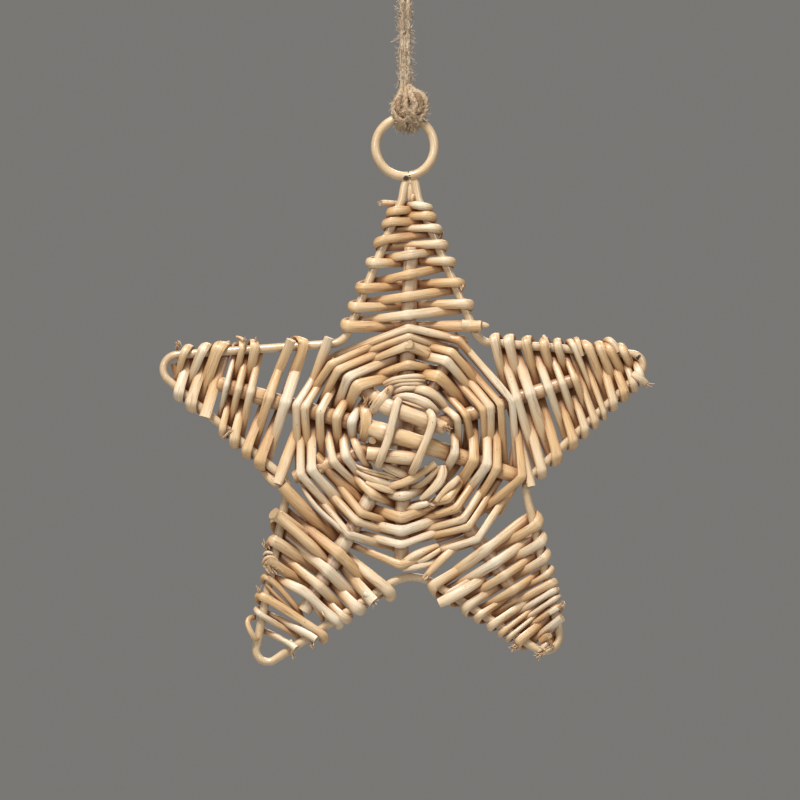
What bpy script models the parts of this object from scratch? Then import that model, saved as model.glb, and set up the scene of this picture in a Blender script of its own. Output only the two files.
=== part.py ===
"""Woven willow star ornament on a coated wire frame, with a ring and a twine loop.

Metres, +Z up. The star lies in the XZ plane and its front faces -Y.
The origin is where the twine loop rests on the hook or twig that carries it.
"""

import math

import bmesh
import bpy
from mathutils import Vector

# Clearance between neighbouring pieces
GAP = 0.0003

# Wires
STAR_WIRE = 0.0037
RING_WIRE = 0.0043
RING_RADIUS = 0.01235
RING_SPLIT = 0.0009

# Heights below the hanging point, and below the ring's middle
RING_DROP = 0.0757
HUB_BELOW_RING = 0.1218
UPRIGHT_TOP_BELOW_RING = 0.0420

# Willow rods
SPOKE = 0.0058
WEAVER_WIDTH = 0.0029
WEAVER_THICKNESS = 0.0018
ROW_PITCH = 0.0032
ROUND_PITCH = 0.0032
END_OVERHANG = 0.0035

# Middle of the star: first and last round of the weavers
FIRST_ROUND = 0.0206
LAST_ROUND = 0.0472

# Star outline from the hub: angle in degrees, distance, bend radius
TIPS = {
    "left": (163.2, 0.1158, 0.0061),
    "lower_left": (-122.9, 0.1193, 0.0050),
    "lower_right": (-54.9, 0.1191, 0.0065),
    "right": (17.7, 0.1120, 0.0050),
}
VALLEYS = {
    "upper_left": (123.0, 0.0471, 0.0085),
    "lower_left": (-158.8, 0.0522, 0.0075),
    "bottom": (-87.1, 0.0557, 0.0165),
    "lower_right": (-21.1, 0.0536, 0.0065),
    "upper_right": (52.1, 0.0506, 0.0085),
}
LEG_BEND_RADIUS = 0.008
LEG_BEND_BELOW_RING = 0.0075
LEGS_OFFSET = 0.0022
LEG_SPREAD_AT_BEND = 0.0014

# Spokes: route in the star's plane from the hub, layer where they cross (-1 is the front),
# the distances between which they step back to the star's plane, and which ends do so
SPOKES = {
    "spoke_upright": (
        ((0.0025, HUB_BELOW_RING - UPRIGHT_TOP_BELOW_RING), (0.0, 0.0), (-0.0017, -0.0540)),
        0, (0.0, 0.0), (True, True)),
    "spoke_left_arm": (
        ((-0.0785, 0.0226), (0.0, 0.0), (0.0485, -0.0164)), -1, (0.0080, 0.0206), (True, True)),
    "spoke_right_arm": (
        ((0.0727, 0.0244), (0.0, 0.0010), (-0.0468, -0.0168)), 1, (0.0080, 0.0206), (True, True)),
    "spoke_upper_left": (
        ((-0.0319, 0.0315), (-0.0095, 0.0139), (0.0168, 0.0038)), -1, (0.0125, 0.0240), (True, False)),
    "spoke_short": (
        ((-0.0160, -0.0066), (0.0066, -0.0096)), -1, (0.0, 0.0), (False, False)),
    "spoke_upper_right": (
        ((0.0088, 0.0156), (0.0205, 0.0365)), 0, (0.0, 0.0), (True, True)),
    "spoke_lower_left": (
        ((-0.0090, -0.0156), (-0.0424, -0.0735)), 0, (0.0, 0.0), (True, True)),
    "spoke_lower_right": (
        ((0.0102, -0.0144), (0.0441, -0.0622)), 0, (0.0, 0.0), (True, True)),
}
STEP_SPACING = 0.0032
END_SLANT = 0.25

# Arms: the valleys on both sides, the spoke inside, then the bare wire left on each side,
# measured from the valley's bend and from the tip's bend
ARMS = {
    "top": ("upper_left", "upper_right", "spoke_upright", (0.0070, 0.0065), (0.0035, 0.0035)),
    "left": ("upper_left", "lower_left", "spoke_left_arm", (0.0105, 0.0065), (0.0014, 0.0050)),
    "lower_left": ("lower_left", "bottom", "spoke_lower_left", (0.0125, 0.0040), (0.0060, 0.0110)),
    "lower_right": ("bottom", "lower_right", "spoke_lower_right", (0.0030, 0.0085), (0.0025, 0.0030)),
    "right": ("lower_right", "upper_right", "spoke_right_arm", (0.0060, 0.0065), (0.0045, 0.0014)),
}

# Centre: the spoke ends that the round weavers pass, going round from the right valley
ROUND_ORDER = (
    ("spoke_left_arm", 1),
    ("spoke_right_arm", 0),
    ("spoke_upper_right", 1),
    ("spoke_upright", 0),
    ("spoke_upper_left", 0),
    ("spoke_left_arm", 0),
    ("spoke_right_arm", 1),
    ("spoke_lower_left", 1),
    ("spoke_upright", 1),
    ("spoke_lower_right", 1),
)

# Skeins that bind the three front rods, each along a line of the star's plane from the hub
FRONT_RODS = ("spoke_upper_left", "spoke_left_arm", "spoke_short")
BINDINGS = {
    "binding_left": ((-0.0029, 0.0134), (-0.0105, -0.0109)),
    "binding_right": ((0.0126, 0.0120), (0.0045, -0.0126)),
}
BINDING_WIDTH = 0.0026
BINDING_THICKNESS = 0.0012
BINDING_TUCK = 0.0042
BINDING_TURN = 70.0

# Butt ends of weavers behind the lower left of the middle
BUTTS = {
    "butt_inner": ((-0.0378, -0.0080), (-0.0185, -0.0273)),
    "butt_outer": ((-0.0508, -0.0164), (-0.0286, -0.0420)),
}
BUTT = 0.0056

# Twine loop and its hitch on the ring
TWINE = 0.0021
TWINE_GAP = 0.0002
LOOP_RADIUS = 0.0046
LOOP_NARROWS_OVER = 0.0100
KNOT_WIDTH = 0.0155
KNOT_DEPTH = 0.0094
KNOT_HEIGHT = 0.0168
KNOT_ABOVE_RING_WIRE = 0.0032

FRONT = Vector((0.0, -1.0, 0.0))
HUB = Vector((0.0, 0.0, -RING_DROP - HUB_BELOW_RING))
RING_CENTRE = Vector((0.0, 0.0, -RING_DROP))


def clear_scene():
    for thing in list(bpy.data.objects):
        bpy.data.objects.remove(thing, do_unlink=True)


def material(name, colour, roughness, metallic=0.0):
    made = bpy.data.materials.new(name)
    made.use_nodes = True
    shader = made.node_tree.nodes["Principled BSDF"]
    shader.inputs["Base Color"].default_value = (*colour, 1.0)
    shader.inputs["Roughness"].default_value = roughness
    shader.inputs["Metallic"].default_value = metallic
    made.diffuse_color = (*colour, 1.0)
    return made


def in_plane(x, z, depth=0.0):
    """A point given from the hub, in the star's plane, pushed back by a depth."""
    return HUB + Vector((x, depth, z))


def polar(angle, distance):
    turn = math.radians(angle)
    return in_plane(distance * math.cos(turn), distance * math.sin(turn))


def hub_distance(point):
    return math.hypot(point.x - HUB.x, point.z - HUB.z)


def smooth_step(share):
    share = min(1.0, max(0.0, share))
    return share * share * (3.0 - 2.0 * share)


def round_rod(name, points, diameter, look, resolution=2):
    """A round rod or wire along points, with flat closed ends."""
    data = bpy.data.curves.new(name, "CURVE")
    data.dimensions = "3D"
    data.bevel_depth = diameter / 2.0
    data.bevel_resolution = resolution
    data.use_fill_caps = True
    spline = data.splines.new("POLY")
    spline.points.add(len(points) - 1)
    for slot, point in zip(spline.points, points):
        slot.co = (*point, 1.0)
    data.materials.append(look)
    made = bpy.data.objects.new(name, data)
    bpy.context.collection.objects.link(made)
    return made


def mesh_object(name, build, look):
    data = bpy.data.meshes.new(name)
    build.to_mesh(data)
    build.free()
    data.materials.append(look)
    data.shade_smooth()
    data.set_sharp_from_angle(angle=math.radians(50.0))
    made = bpy.data.objects.new(name, data)
    bpy.context.collection.objects.link(made)
    return made


def flat_rod(name, points, sideways, width, thickness, look):
    """A flattened rod along points; sideways holds the direction of its width at each point."""
    section = ((-0.5, 0.0), (-0.3, -0.5), (0.3, -0.5), (0.5, 0.0), (0.3, 0.5), (-0.3, 0.5))
    build = bmesh.new()
    rings = []
    last = len(points) - 1
    for index, point in enumerate(points):
        along = (points[min(last, index + 1)] - points[max(0, index - 1)]).normalized()
        side = sideways[index]
        side = (side - along * side.dot(along)).normalized()
        lift = along.cross(side)
        rings.append([
            build.verts.new(point + side * (width * across) + lift * (thickness * up))
            for across, up in section
        ])
    for before, after in zip(rings, rings[1:]):
        for corner in range(len(section)):
            following = (corner + 1) % len(section)
            build.faces.new((before[corner], before[following], after[following], after[corner]))
    build.faces.new(list(reversed(rings[0])))
    build.faces.new(rings[-1])
    bmesh.ops.recalc_face_normals(build, faces=build.faces)
    return mesh_object(name, build, look)


# The star's outline

def ring_underside(x):
    """Height of the ring's lowest material beside its middle."""
    outer = RING_RADIUS + RING_WIRE / 2.0
    return RING_CENTRE.z - math.sqrt(outer * outer - x * x)


def leg_top(direction):
    """Upper end of the left (-1) or right (1) leg, just under the ring."""
    x = LEGS_OFFSET + direction * (STAR_WIRE + GAP) / 2.0
    nearest = max(0.0, abs(x) - STAR_WIRE / 2.0)
    return Vector((x, 0.0, ring_underside(nearest) - GAP))


def leg_bend(direction):
    x = LEGS_OFFSET + direction * ((STAR_WIRE + GAP) / 2.0 + LEG_SPREAD_AT_BEND)
    return Vector((x, 0.0, ring_underside(0.0) - LEG_BEND_BELOW_RING))


def outline_corners():
    """Corners of the wire in order, from the left leg's top to the right leg's top."""
    corners = [("left leg", leg_bend(-1), LEG_BEND_RADIUS)]
    valley_names = list(VALLEYS)
    tip_names = list(TIPS)
    for index, valley in enumerate(valley_names):
        angle, distance, radius = VALLEYS[valley]
        corners.append(("valley " + valley, polar(angle, distance), radius))
        if index < len(tip_names):
            angle, distance, radius = TIPS[tip_names[index]]
            corners.append(("tip " + tip_names[index], polar(angle, distance), radius))
    corners.append(("right leg", leg_bend(1), LEG_BEND_RADIUS))
    return corners


def bends():
    """For each corner: where its bend starts and ends, and the points of its arc."""
    corners = outline_corners()
    places = [leg_top(-1)] + [place for _, place, _ in corners] + [leg_top(1)]
    found = {}
    for index, (name, corner, radius) in enumerate(corners):
        back = (places[index] - corner).normalized()
        ahead = (places[index + 2] - corner).normalized()
        half = back.angle(ahead) / 2.0
        reach = radius / math.tan(half)
        middle = corner + (back + ahead).normalized() * (radius / math.sin(half))
        start = corner + back * reach
        end = corner + ahead * reach
        sweep = math.pi - 2.0 * half
        steps = max(2, round(math.degrees(sweep) / 19.0))
        arc = []
        for step in range(steps + 1):
            share = step / steps
            outwards = (start - middle).normalized().slerp((end - middle).normalized(), share)
            arc.append(middle + outwards * radius)
        found[name] = (start, end, arc)
    return found


def make_star_frame(look):
    points = [leg_top(-1)]
    for _, _, arc in bends().values():
        points.extend(arc)
    points.append(leg_top(1))
    return round_rod("star_frame", points, STAR_WIRE, look)


def make_ring(look, name="hanging_ring", wire=RING_WIRE):
    """The ring's wire starts and ends at the bottom, with a narrow split between the ends."""
    segments = 24
    first = -math.pi / 2.0 + RING_SPLIT / (2.0 * RING_RADIUS)
    sweep = 2.0 * math.pi - RING_SPLIT / RING_RADIUS
    points = []
    for step in range(segments + 1):
        turn = first + sweep * step / segments
        points.append(RING_CENTRE + Vector((math.cos(turn), 0.0, math.sin(turn))) * RING_RADIUS)
    return round_rod(name, points, wire, look)


# Spokes

def spoke_depth(name, end, distance):
    """How far a spoke stands off the star's plane on its arm towards one of its ends."""
    _, layer, (flat, level), returns = SPOKES[name]
    if layer == 0:
        return 0.0
    left = 1.0 - smooth_step((distance - flat) / (level - flat)) if returns[end] else 1.0
    return layer * (SPOKE + GAP) * left


def spoke_points(name):
    """The route of a spoke, with close steps where it leaves the star's plane."""
    route, layer, (_, level), _ = SPOKES[name]
    corners = [in_plane(x, z) for x, z in route]
    straight = level if layer else 0.0
    points = []
    for start, end in zip(corners, corners[1:]):
        span = end - start
        nearest = -(start - HUB).dot(span) / span.length_squared
        steps = int(straight / STEP_SPACING) + 1
        shares = [0.0]
        for step in range(-steps, steps + 1):
            share = nearest + step * STEP_SPACING / span.length
            if straight and 0.4 * STEP_SPACING < share * span.length < span.length - 0.4 * STEP_SPACING:
                shares.append(share)
        for share in shares:
            place = start + span * share
            towards = 0 if share < nearest else 1
            place.y = spoke_depth(name, towards, hub_distance(place))
            points.append(place)
    last = corners[-1]
    last.y = spoke_depth(name, 1, hub_distance(last))
    points.append(last)
    return points


def spoke_at(name, end, distance):
    """Where a spoke's arm passes a distance from the hub: place, direction, depth, slope, reach."""
    route = SPOKES[name][0]
    corners = [in_plane(x, z) for x, z in route]
    if end == 0:
        corners.reverse()
    inner, outer = corners[-2], corners[-1]
    if hub_distance(inner) > distance and len(corners) > 2:
        inner, outer = corners[-3], corners[-2]
    span = outer - inner
    from_hub = inner - HUB
    half_b = from_hub.dot(span)
    rest = from_hub.length_squared - distance * distance
    share = (-half_b + math.sqrt(half_b * half_b - span.length_squared * rest)) / span.length_squared
    nudge = 0.0001
    rise = spoke_depth(name, end, distance + nudge) - spoke_depth(name, end, distance - nudge)
    place = inner + span * share
    depth = spoke_depth(name, end, distance)
    return place, span.normalized(), depth, rise / (2.0 * nudge), hub_distance(corners[-1])


def make_spokes(look):
    for name in SPOKES:
        round_rod(name, spoke_points(name), SPOKE, look)


# Weaving: a rod is drawn tight round the wires and spokes that it passes

def tight_angle(from_place, from_offset, to_place, to_offset):
    """Direction of a rod that passes two round bars at signed distances from their middles."""
    run = to_place[0] - from_place[0]
    rise = to_place[1] - from_place[1]
    return math.atan2(rise, run) + math.asin((to_offset - from_offset) / math.hypot(run, rise))


def tight_corners(offset, angle_in, angle_out, count):
    """Corners of a tight rod round a bar, from the bar's middle, as (along, depth)."""
    step = (angle_out - angle_in) / count
    reach = offset / math.cos(step / 2.0)
    corners = []
    for index in range(count):
        angle = angle_in + (index + 0.5) * step
        corners.append((-math.sin(angle) * reach, math.cos(angle) * reach))
    return corners


def bar_clearance(bar, row_direction, bar_direction):
    """Distance from a bar's middle to a weaver's middle, measured along the weaver's row."""
    slant = row_direction.cross(bar_direction).length
    return (bar / 2.0 + GAP + WEAVER_THICKNESS / 2.0) / slant


def clears_end(beyond):
    """Whether a weaver that crosses a spoke's line beyond its end misses the spoke."""
    return beyond > WEAVER_WIDTH / 2.0 + GAP + SPOKE * END_SLANT


def arm_wires(arm):
    """Straight stretches of the arm's two wires: places of the first row, then of the last."""
    first_valley, second_valley, _, valley_bare, tip_bare = ARMS[arm]
    found = bends()
    if arm == "top":
        tips = (found["left leg"][1], found["right leg"][0])
        valleys = (found["valley " + first_valley][0], found["valley " + second_valley][1])
    else:
        tips = (found["tip " + arm][0], found["tip " + arm][1])
        valleys = (found["valley " + first_valley][1], found["valley " + second_valley][0])
    wires = []
    for side in range(2):
        inwards = (valleys[side] - tips[side]).normalized()
        wires.append((tips[side] + inwards * tip_bare[side], valleys[side] - inwards * valley_bare[side]))
    return wires


def crossing(start, end, rib_start, rib_end):
    """Shares along two lines of the star's plane at the point where they cross."""
    a = end - start
    b = rib_end - rib_start
    c = rib_start - start
    scale = a.x * b.z - a.z * b.x
    return (c.x * b.z - c.z * b.x) / scale, (c.x * a.z - c.z * a.x) / scale


def arm_rows(arm):
    """Each row of an arm: its two wire places, the spoke's place or None, and the bar clearances."""
    (first_a, last_a), (first_b, last_b) = arm_wires(arm)
    wire_a = (last_a - first_a).normalized()
    wire_b = (last_b - first_b).normalized()
    rib_outer, rib_inner = rib_ends(arm)
    axis = (rib_inner - rib_outer).normalized()
    room = min((last_a - first_a).dot(axis), (last_b - first_b).dot(axis))
    count = int(room / ROW_PITCH) + 1
    rows = []
    for index in range(count):
        share = index / (count - 1)
        ends = [first_a.lerp(last_a, share), first_b.lerp(last_b, share)]
        across = (ends[1] - ends[0]).normalized()
        clear = [bar_clearance(STAR_WIRE, across, wire_a), bar_clearance(STAR_WIRE, across, wire_b)]
        rib = None
        row_share, rib_share = crossing(ends[0], ends[1], rib_outer, rib_inner)
        if not clears_end(-rib_share * (rib_inner - rib_outer).length):
            rib = (row_share, bar_clearance(SPOKE, across, axis))
        if index % 2:
            ends.reverse()
            clear.reverse()
            if rib:
                rib = (1.0 - rib[0], rib[1])
        rows.append((ends, rib, clear))
    return rows


def rib_ends(arm):
    """Outer end of the spoke in an arm, and a point of the same spoke at the middle."""
    route = [in_plane(x, z) for x, z in SPOKES[ARMS[arm][2]][0]]
    route.sort(key=lambda place: (place - arm_tip(arm)).length)
    return route[0], route[1]


def arm_tip(arm):
    if arm == "top":
        return leg_bend(1)
    angle, distance, _ = TIPS[arm]
    return polar(angle, distance)


def arm_path(arm):
    """Points of the rod that fills an arm, wound to and fro from the tip inwards."""
    rows = arm_rows(arm)
    side = -1
    runs = []
    for ends, rib, clear in rows:
        length = (ends[1] - ends[0]).length
        bars = [(0.0, side * clear[0])]
        if rib:
            bars.append((rib[0] * length, -side * rib[1]))
        end_side = side if rib else -side
        bars.append((length, end_side * clear[1]))
        angles = [
            tight_angle((before[0], 0.0), before[1], (after[0], 0.0), after[1])
            for before, after in zip(bars, bars[1:])
        ]
        runs.append((ends, bars, angles, end_side))
        side = -end_side
    points = []
    first_ends, first_bars, first_angles, _ = runs[0]
    points.append(row_point(first_ends, free_end(first_bars[0], first_angles[0], -END_OVERHANG)))
    for index, (ends, bars, angles, end_side) in enumerate(runs):
        if len(bars) == 3:
            along, depth = tight_corners(bars[1][1], angles[0], angles[1], 1)[0]
            points.append(row_point(ends, (bars[1][0] + along, depth)))
        if index == len(runs) - 1:
            points.append(row_point(ends, free_end(bars[-1], angles[-1], END_OVERHANG)))
            break
        next_ends, _, next_angles, _ = runs[index + 1]
        turned = -end_side * math.pi - next_angles[0]
        count = 4
        for step, (along, depth) in enumerate(tight_corners(bars[-1][1], angles[-1], turned, count)):
            share = (step + 0.5) / count
            wire_place = ends[1].lerp(next_ends[0], share)
            outwards = (ends[1] - ends[0]).normalized().lerp((next_ends[0] - next_ends[1]).normalized(), share)
            points.append(wire_place + outwards * along + Vector((0.0, depth, 0.0)))
    return points


def free_end(bar, angle, overhang):
    """End of a rod that runs on past a bar by an overhang."""
    place, offset = bar
    along = place - math.sin(angle) * offset + math.cos(angle) * overhang
    depth = math.cos(angle) * offset + math.sin(angle) * overhang
    return along, depth


def row_point(ends, along_depth):
    along, depth = along_depth
    return ends[0] + (ends[1] - ends[0]).normalized() * along + Vector((0.0, depth, 0.0))


def make_arm_weaves(look):
    for arm in ARMS:
        points = arm_path(arm)
        outer, inner = rib_ends(arm)
        inwards = (inner - outer).normalized()
        flat_rod("arm_weave_" + arm, points, [inwards] * len(points),
                 WEAVER_WIDTH, WEAVER_THICKNESS, look)


def round_path(weaver):
    """Points and outward directions of one of the two weavers that run round the middle."""
    spokes = len(ROUND_ORDER)
    turns = (LAST_ROUND - FIRST_ROUND - ROUND_PITCH) / (2.0 * ROUND_PITCH)
    bars = []
    for index in range(int(turns * spokes) + 1):
        distance = FIRST_ROUND + ROUND_PITCH * (weaver + 2.0 * index / spokes)
        name, end = ROUND_ORDER[index % spokes]
        place, direction, depth, slope, reach = spoke_at(name, end, distance)
        side = 1 if (index + weaver) % 2 else -1
        if clears_end(distance - reach):
            side = 0
        bars.append((place, depth, side, slope, direction))
    offsets = []
    for index, (place, _, side, slope, direction) in enumerate(bars):
        before = bars[max(0, index - 1)][0]
        after = bars[min(len(bars) - 1, index + 1)][0]
        slant = min(
            direction.cross(leg.normalized()).length
            for leg in (place - before, after - place)
            if leg.length > 0.0
        )
        clear = (SPOKE / 2.0 + GAP + WEAVER_THICKNESS / 2.0) / slant * math.hypot(1.0, slope)
        offsets.append(side * (clear + abs(slope) * WEAVER_WIDTH / 2.0))
    angles = []
    for index in range(len(bars) - 1):
        run = (bars[index + 1][0] - bars[index][0]).length
        angles.append(tight_angle((0.0, bars[index][1]), offsets[index],
                                  (run, bars[index + 1][1]), offsets[index + 1]))
    points = []
    for index, (place, depth, _, _, _) in enumerate(bars):
        before = bars[max(0, index - 1)][0]
        after = bars[min(len(bars) - 1, index + 1)][0]
        if index in (0, len(bars) - 1):
            angle = angles[0] if index == 0 else angles[-1]
            overhang = -END_OVERHANG if index == 0 else END_OVERHANG
            corners = [free_end((0.0, offsets[index]), angle, overhang)]
        else:
            corners = tight_corners(offsets[index], angles[index - 1], angles[index], 2)
        for along, lift in corners:
            leg = (place - before) if along < 0.0 and index > 0 else (after - place)
            if index == len(bars) - 1:
                leg = place - before
            points.append(place + leg.normalized() * along + Vector((0.0, depth + lift, 0.0)))
    outwards = [Vector((point.x - HUB.x, 0.0, point.z - HUB.z)).normalized() for point in points]
    return points, outwards


def make_centre_weavers(look):
    for weaver in range(2):
        points, outwards = round_path(weaver)
        flat_rod("centre_weaver_" + str(weaver + 1), points, outwards,
                 WEAVER_WIDTH, WEAVER_THICKNESS, look)


# Skeins and butt ends

def binding_path(name):
    """Points of a skein drawn tight over the front rods, its ends turned back between them."""
    top, bottom = [in_plane(x, z) for x, z in BINDINGS[name]]
    direction = (bottom - top).normalized()
    bars = []
    for rod in FRONT_RODS:
        start, end = [in_plane(x, z) for x, z in SPOKES[rod][0][-2:]]
        share, _ = crossing(top, bottom, start, end)
        along = share * (bottom - top).length
        slant = direction.cross((end - start).normalized()).length
        clear = (SPOKE / 2.0 + GAP + BINDING_THICKNESS / 2.0) / slant
        bars.append(((along, spoke_depth(rod, 1, 0.0)), -clear))
    turn = math.radians(BINDING_TURN)
    angles = [-turn]
    for before, after in zip(bars, bars[1:]):
        angles.append(tight_angle(before[0], before[1], after[0], after[1]))
    angles.append(turn)
    route = [bar_point(bars[0], free_end((0.0, bars[0][1]), -turn, -BINDING_TUCK))]
    for bar, angle_in, angle_out in zip(bars, angles, angles[1:]):
        count = 2 if bar in (bars[0], bars[-1]) else 1
        for corner in tight_corners(bar[1], angle_in, angle_out, count):
            route.append(bar_point(bar, corner))
    route.append(bar_point(bars[-1], free_end((0.0, bars[-1][1]), turn, BINDING_TUCK)))
    return [top + direction * along + Vector((0.0, depth, 0.0)) for along, depth in route]


def bar_point(bar, corner):
    (along, depth), _ = bar
    return along + corner[0], depth + corner[1]


def make_bindings(look):
    """Two skeins over the three front rods."""
    start, end = [in_plane(x, z) for x, z in SPOKES["spoke_left_arm"][0][-2:]]
    sideways = (end - start).normalized()
    for name in BINDINGS:
        points = binding_path(name)
        flat_rod(name, points, [sideways] * len(points), BINDING_WIDTH, BINDING_THICKNESS, look)


def make_butts(look):
    """Thick rod ends flat against the back of the round weavers."""
    depth = SPOKE / 2.0 + GAP + WEAVER_THICKNESS + GAP + BUTT / 2.0 + WEAVER_THICKNESS / 2.0
    for name, route in BUTTS.items():
        points = [in_plane(x, z, depth) for x, z in route]
        round_rod(name, points, BUTT, look)


# Twine

def twine_points():
    """The loop from the hitch, up, over the hanging point and down to the hitch again."""
    narrow = (TWINE + TWINE_GAP) / 2.0
    top = TWINE / 2.0
    shoulder = top - LOOP_RADIUS
    bottom = knot_centre().z + KNOT_HEIGHT / 2.0 + GAP
    leg = []
    straight = shoulder - LOOP_NARROWS_OVER
    leg.append((narrow, bottom))
    leg.append((narrow, (bottom + straight) / 2.0))
    steps = 5
    for step in range(steps):
        share = step / steps
        x = narrow + (LOOP_RADIUS - narrow) * smooth_step(share)
        leg.append((x, straight + LOOP_NARROWS_OVER * share))
    bight = []
    arc_steps = 8
    for step in range(arc_steps + 1):
        turn = math.pi * step / arc_steps
        bight.append((-LOOP_RADIUS * math.cos(turn), shoulder + LOOP_RADIUS * math.sin(turn)))
    route = [(-x, z) for x, z in leg] + bight + list(reversed(leg))
    return [Vector((x, 0.0, z)) for x, z in route]


def make_twine(look):
    return round_rod("twine", twine_points(), TWINE, look)


def knot_centre():
    return RING_CENTRE + Vector((0.0, 0.0, RING_RADIUS + KNOT_ABOVE_RING_WIRE))


def ring_channel():
    """Cutter for the channel that the ring's wire runs through."""
    around = 12
    along = 40
    radius = RING_WIRE / 2.0 + GAP
    build = bmesh.new()
    loops = []
    for step in range(along):
        turn = 2.0 * math.pi * step / along
        outwards = Vector((math.cos(turn), 0.0, math.sin(turn)))
        loop = []
        for corner in range(around):
            roll = 2.0 * math.pi * corner / around
            lift = outwards * (RING_RADIUS + radius * math.cos(roll))
            loop.append(build.verts.new(RING_CENTRE + lift + FRONT * (radius * math.sin(roll))))
        loops.append(loop)
    for step, loop in enumerate(loops):
        following = loops[(step + 1) % along]
        for corner in range(around):
            other = (corner + 1) % around
            build.faces.new((loop[corner], loop[other], following[other], following[corner]))
    bmesh.ops.recalc_face_normals(build, faces=build.faces)
    data = bpy.data.meshes.new("ring_channel")
    build.to_mesh(data)
    build.free()
    cutter = bpy.data.objects.new("ring_channel", data)
    bpy.context.collection.objects.link(cutter)
    cutter.hide_render = True
    cutter.display_type = "WIRE"
    return cutter


def make_knot(look):
    """The hitch: a lump of twine round the top of the ring, with the ring's channel in it."""
    build = bmesh.new()
    bmesh.ops.create_uvsphere(build, u_segments=16, v_segments=9, radius=0.5)
    for corner in build.verts:
        corner.co.x *= KNOT_WIDTH
        corner.co.y *= KNOT_DEPTH
        corner.co.z *= KNOT_HEIGHT
        corner.co += knot_centre()
    knot = mesh_object("twine_knot", build, look)
    cut = knot.modifiers.new("channel", "BOOLEAN")
    cut.operation = "DIFFERENCE"
    cut.solver = "EXACT"
    cut.object = ring_channel()
    return knot


def main():
    clear_scene()
    coated_wire = material("coated_wire", (0.60, 0.47, 0.30), 0.45)
    willow = material("peeled_willow", (0.66, 0.46, 0.26), 0.5)
    jute = material("jute_twine", (0.42, 0.31, 0.19), 0.9)
    make_star_frame(coated_wire)
    make_ring(coated_wire)
    make_spokes(willow)
    make_arm_weaves(willow)
    make_centre_weavers(willow)
    make_bindings(willow)
    make_butts(willow)
    make_knot(jute)
    make_twine(jute)


main()
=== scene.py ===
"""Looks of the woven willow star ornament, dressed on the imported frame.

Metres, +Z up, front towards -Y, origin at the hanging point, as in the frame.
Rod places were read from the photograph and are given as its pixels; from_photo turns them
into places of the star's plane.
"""

import math

import bpy
import numpy as np
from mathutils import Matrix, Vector


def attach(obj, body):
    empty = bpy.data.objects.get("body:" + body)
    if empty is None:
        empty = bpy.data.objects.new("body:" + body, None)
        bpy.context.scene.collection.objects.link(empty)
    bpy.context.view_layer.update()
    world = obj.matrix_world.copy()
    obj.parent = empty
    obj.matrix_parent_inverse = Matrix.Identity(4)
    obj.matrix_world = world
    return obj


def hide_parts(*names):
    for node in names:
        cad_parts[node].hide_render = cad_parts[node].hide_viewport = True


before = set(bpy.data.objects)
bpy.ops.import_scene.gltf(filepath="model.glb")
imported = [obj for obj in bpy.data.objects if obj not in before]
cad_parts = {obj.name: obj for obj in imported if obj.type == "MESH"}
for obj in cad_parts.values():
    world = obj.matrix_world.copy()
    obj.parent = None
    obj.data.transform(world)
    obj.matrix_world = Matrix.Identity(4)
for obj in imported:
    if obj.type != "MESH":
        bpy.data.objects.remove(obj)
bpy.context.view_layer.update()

SEED = 7
rng = np.random.default_rng(SEED)

# Photograph: metres for a pixel at the star, and the pixel of the hanging point
PIXEL = 0.00042
PHOTO_X = 405.0
PHOTO_Y = -33.143
PICTURE_SIDE = 800
PICTURE_MIDDLE = 400.0
CAMERA_DISTANCE = 2.0
SENSOR = 36.0

# Wires, as in the frame
STAR_WIRE = 0.0037
RING_WIRE = 0.0043
RING_RADIUS = 0.01235
RING_SPLIT = 0.0009
RING_DROP = 0.0757
HUB_BELOW_RING = 0.1218
GAP = 0.0003
TIPS = {
    "left": (163.2, 0.1158, 0.0061),
    "lower_left": (-122.9, 0.1193, 0.0050),
    "lower_right": (-54.9, 0.1191, 0.0065),
    "right": (17.7, 0.1120, 0.0050),
}
VALLEYS = {
    "upper_left": (123.0, 0.0471, 0.0085),
    "lower_left": (-158.8, 0.0522, 0.0075),
    "bottom": (-87.1, 0.0557, 0.0165),
    "lower_right": (-21.1, 0.0536, 0.0065),
    "upper_right": (52.1, 0.0506, 0.0085),
}
LEG_BEND_RADIUS = 0.008
LEG_BEND_BELOW_RING = 0.0075
LEGS_OFFSET = 0.0022
LEG_SPREAD_AT_BEND = 0.0014

# The solder: a bead that joins the legs to the ring, and a seam in the ring, beside the middle
WELD_BEADS = (
    (0.0058, 0.0040, ((402.0, 180.6, 0.0), (406, 182.0, 0.0), (413, 182.0, 0.0), (417.6, 180.6, 0.0))),
    (0.0042, 0.0031, ((409.0, 183.0, 0.0), (409.8, 190.0, 0.0), (411.0, 200.0, 0.0))),
)
RING_SEAM_TURN = 0.14
SOLDER_WIRE = 0.0036

# Dark chips in the wire's coating: photo pixels and radius
WIRE_CHIPS = (
    (635.6, 360.4, 0.0007), (637.4, 358.4, 0.0008), (639.2, 356.4, 0.0007), (406, 178.4, 0.0013),
    (409.4, 173.4, 0.0004), (409.8, 175.6, 0.0005), (410.2, 178, 0.0005), (411.4, 187.8, 0.0007),
    (411.9, 190.2, 0.0007),
)

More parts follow.
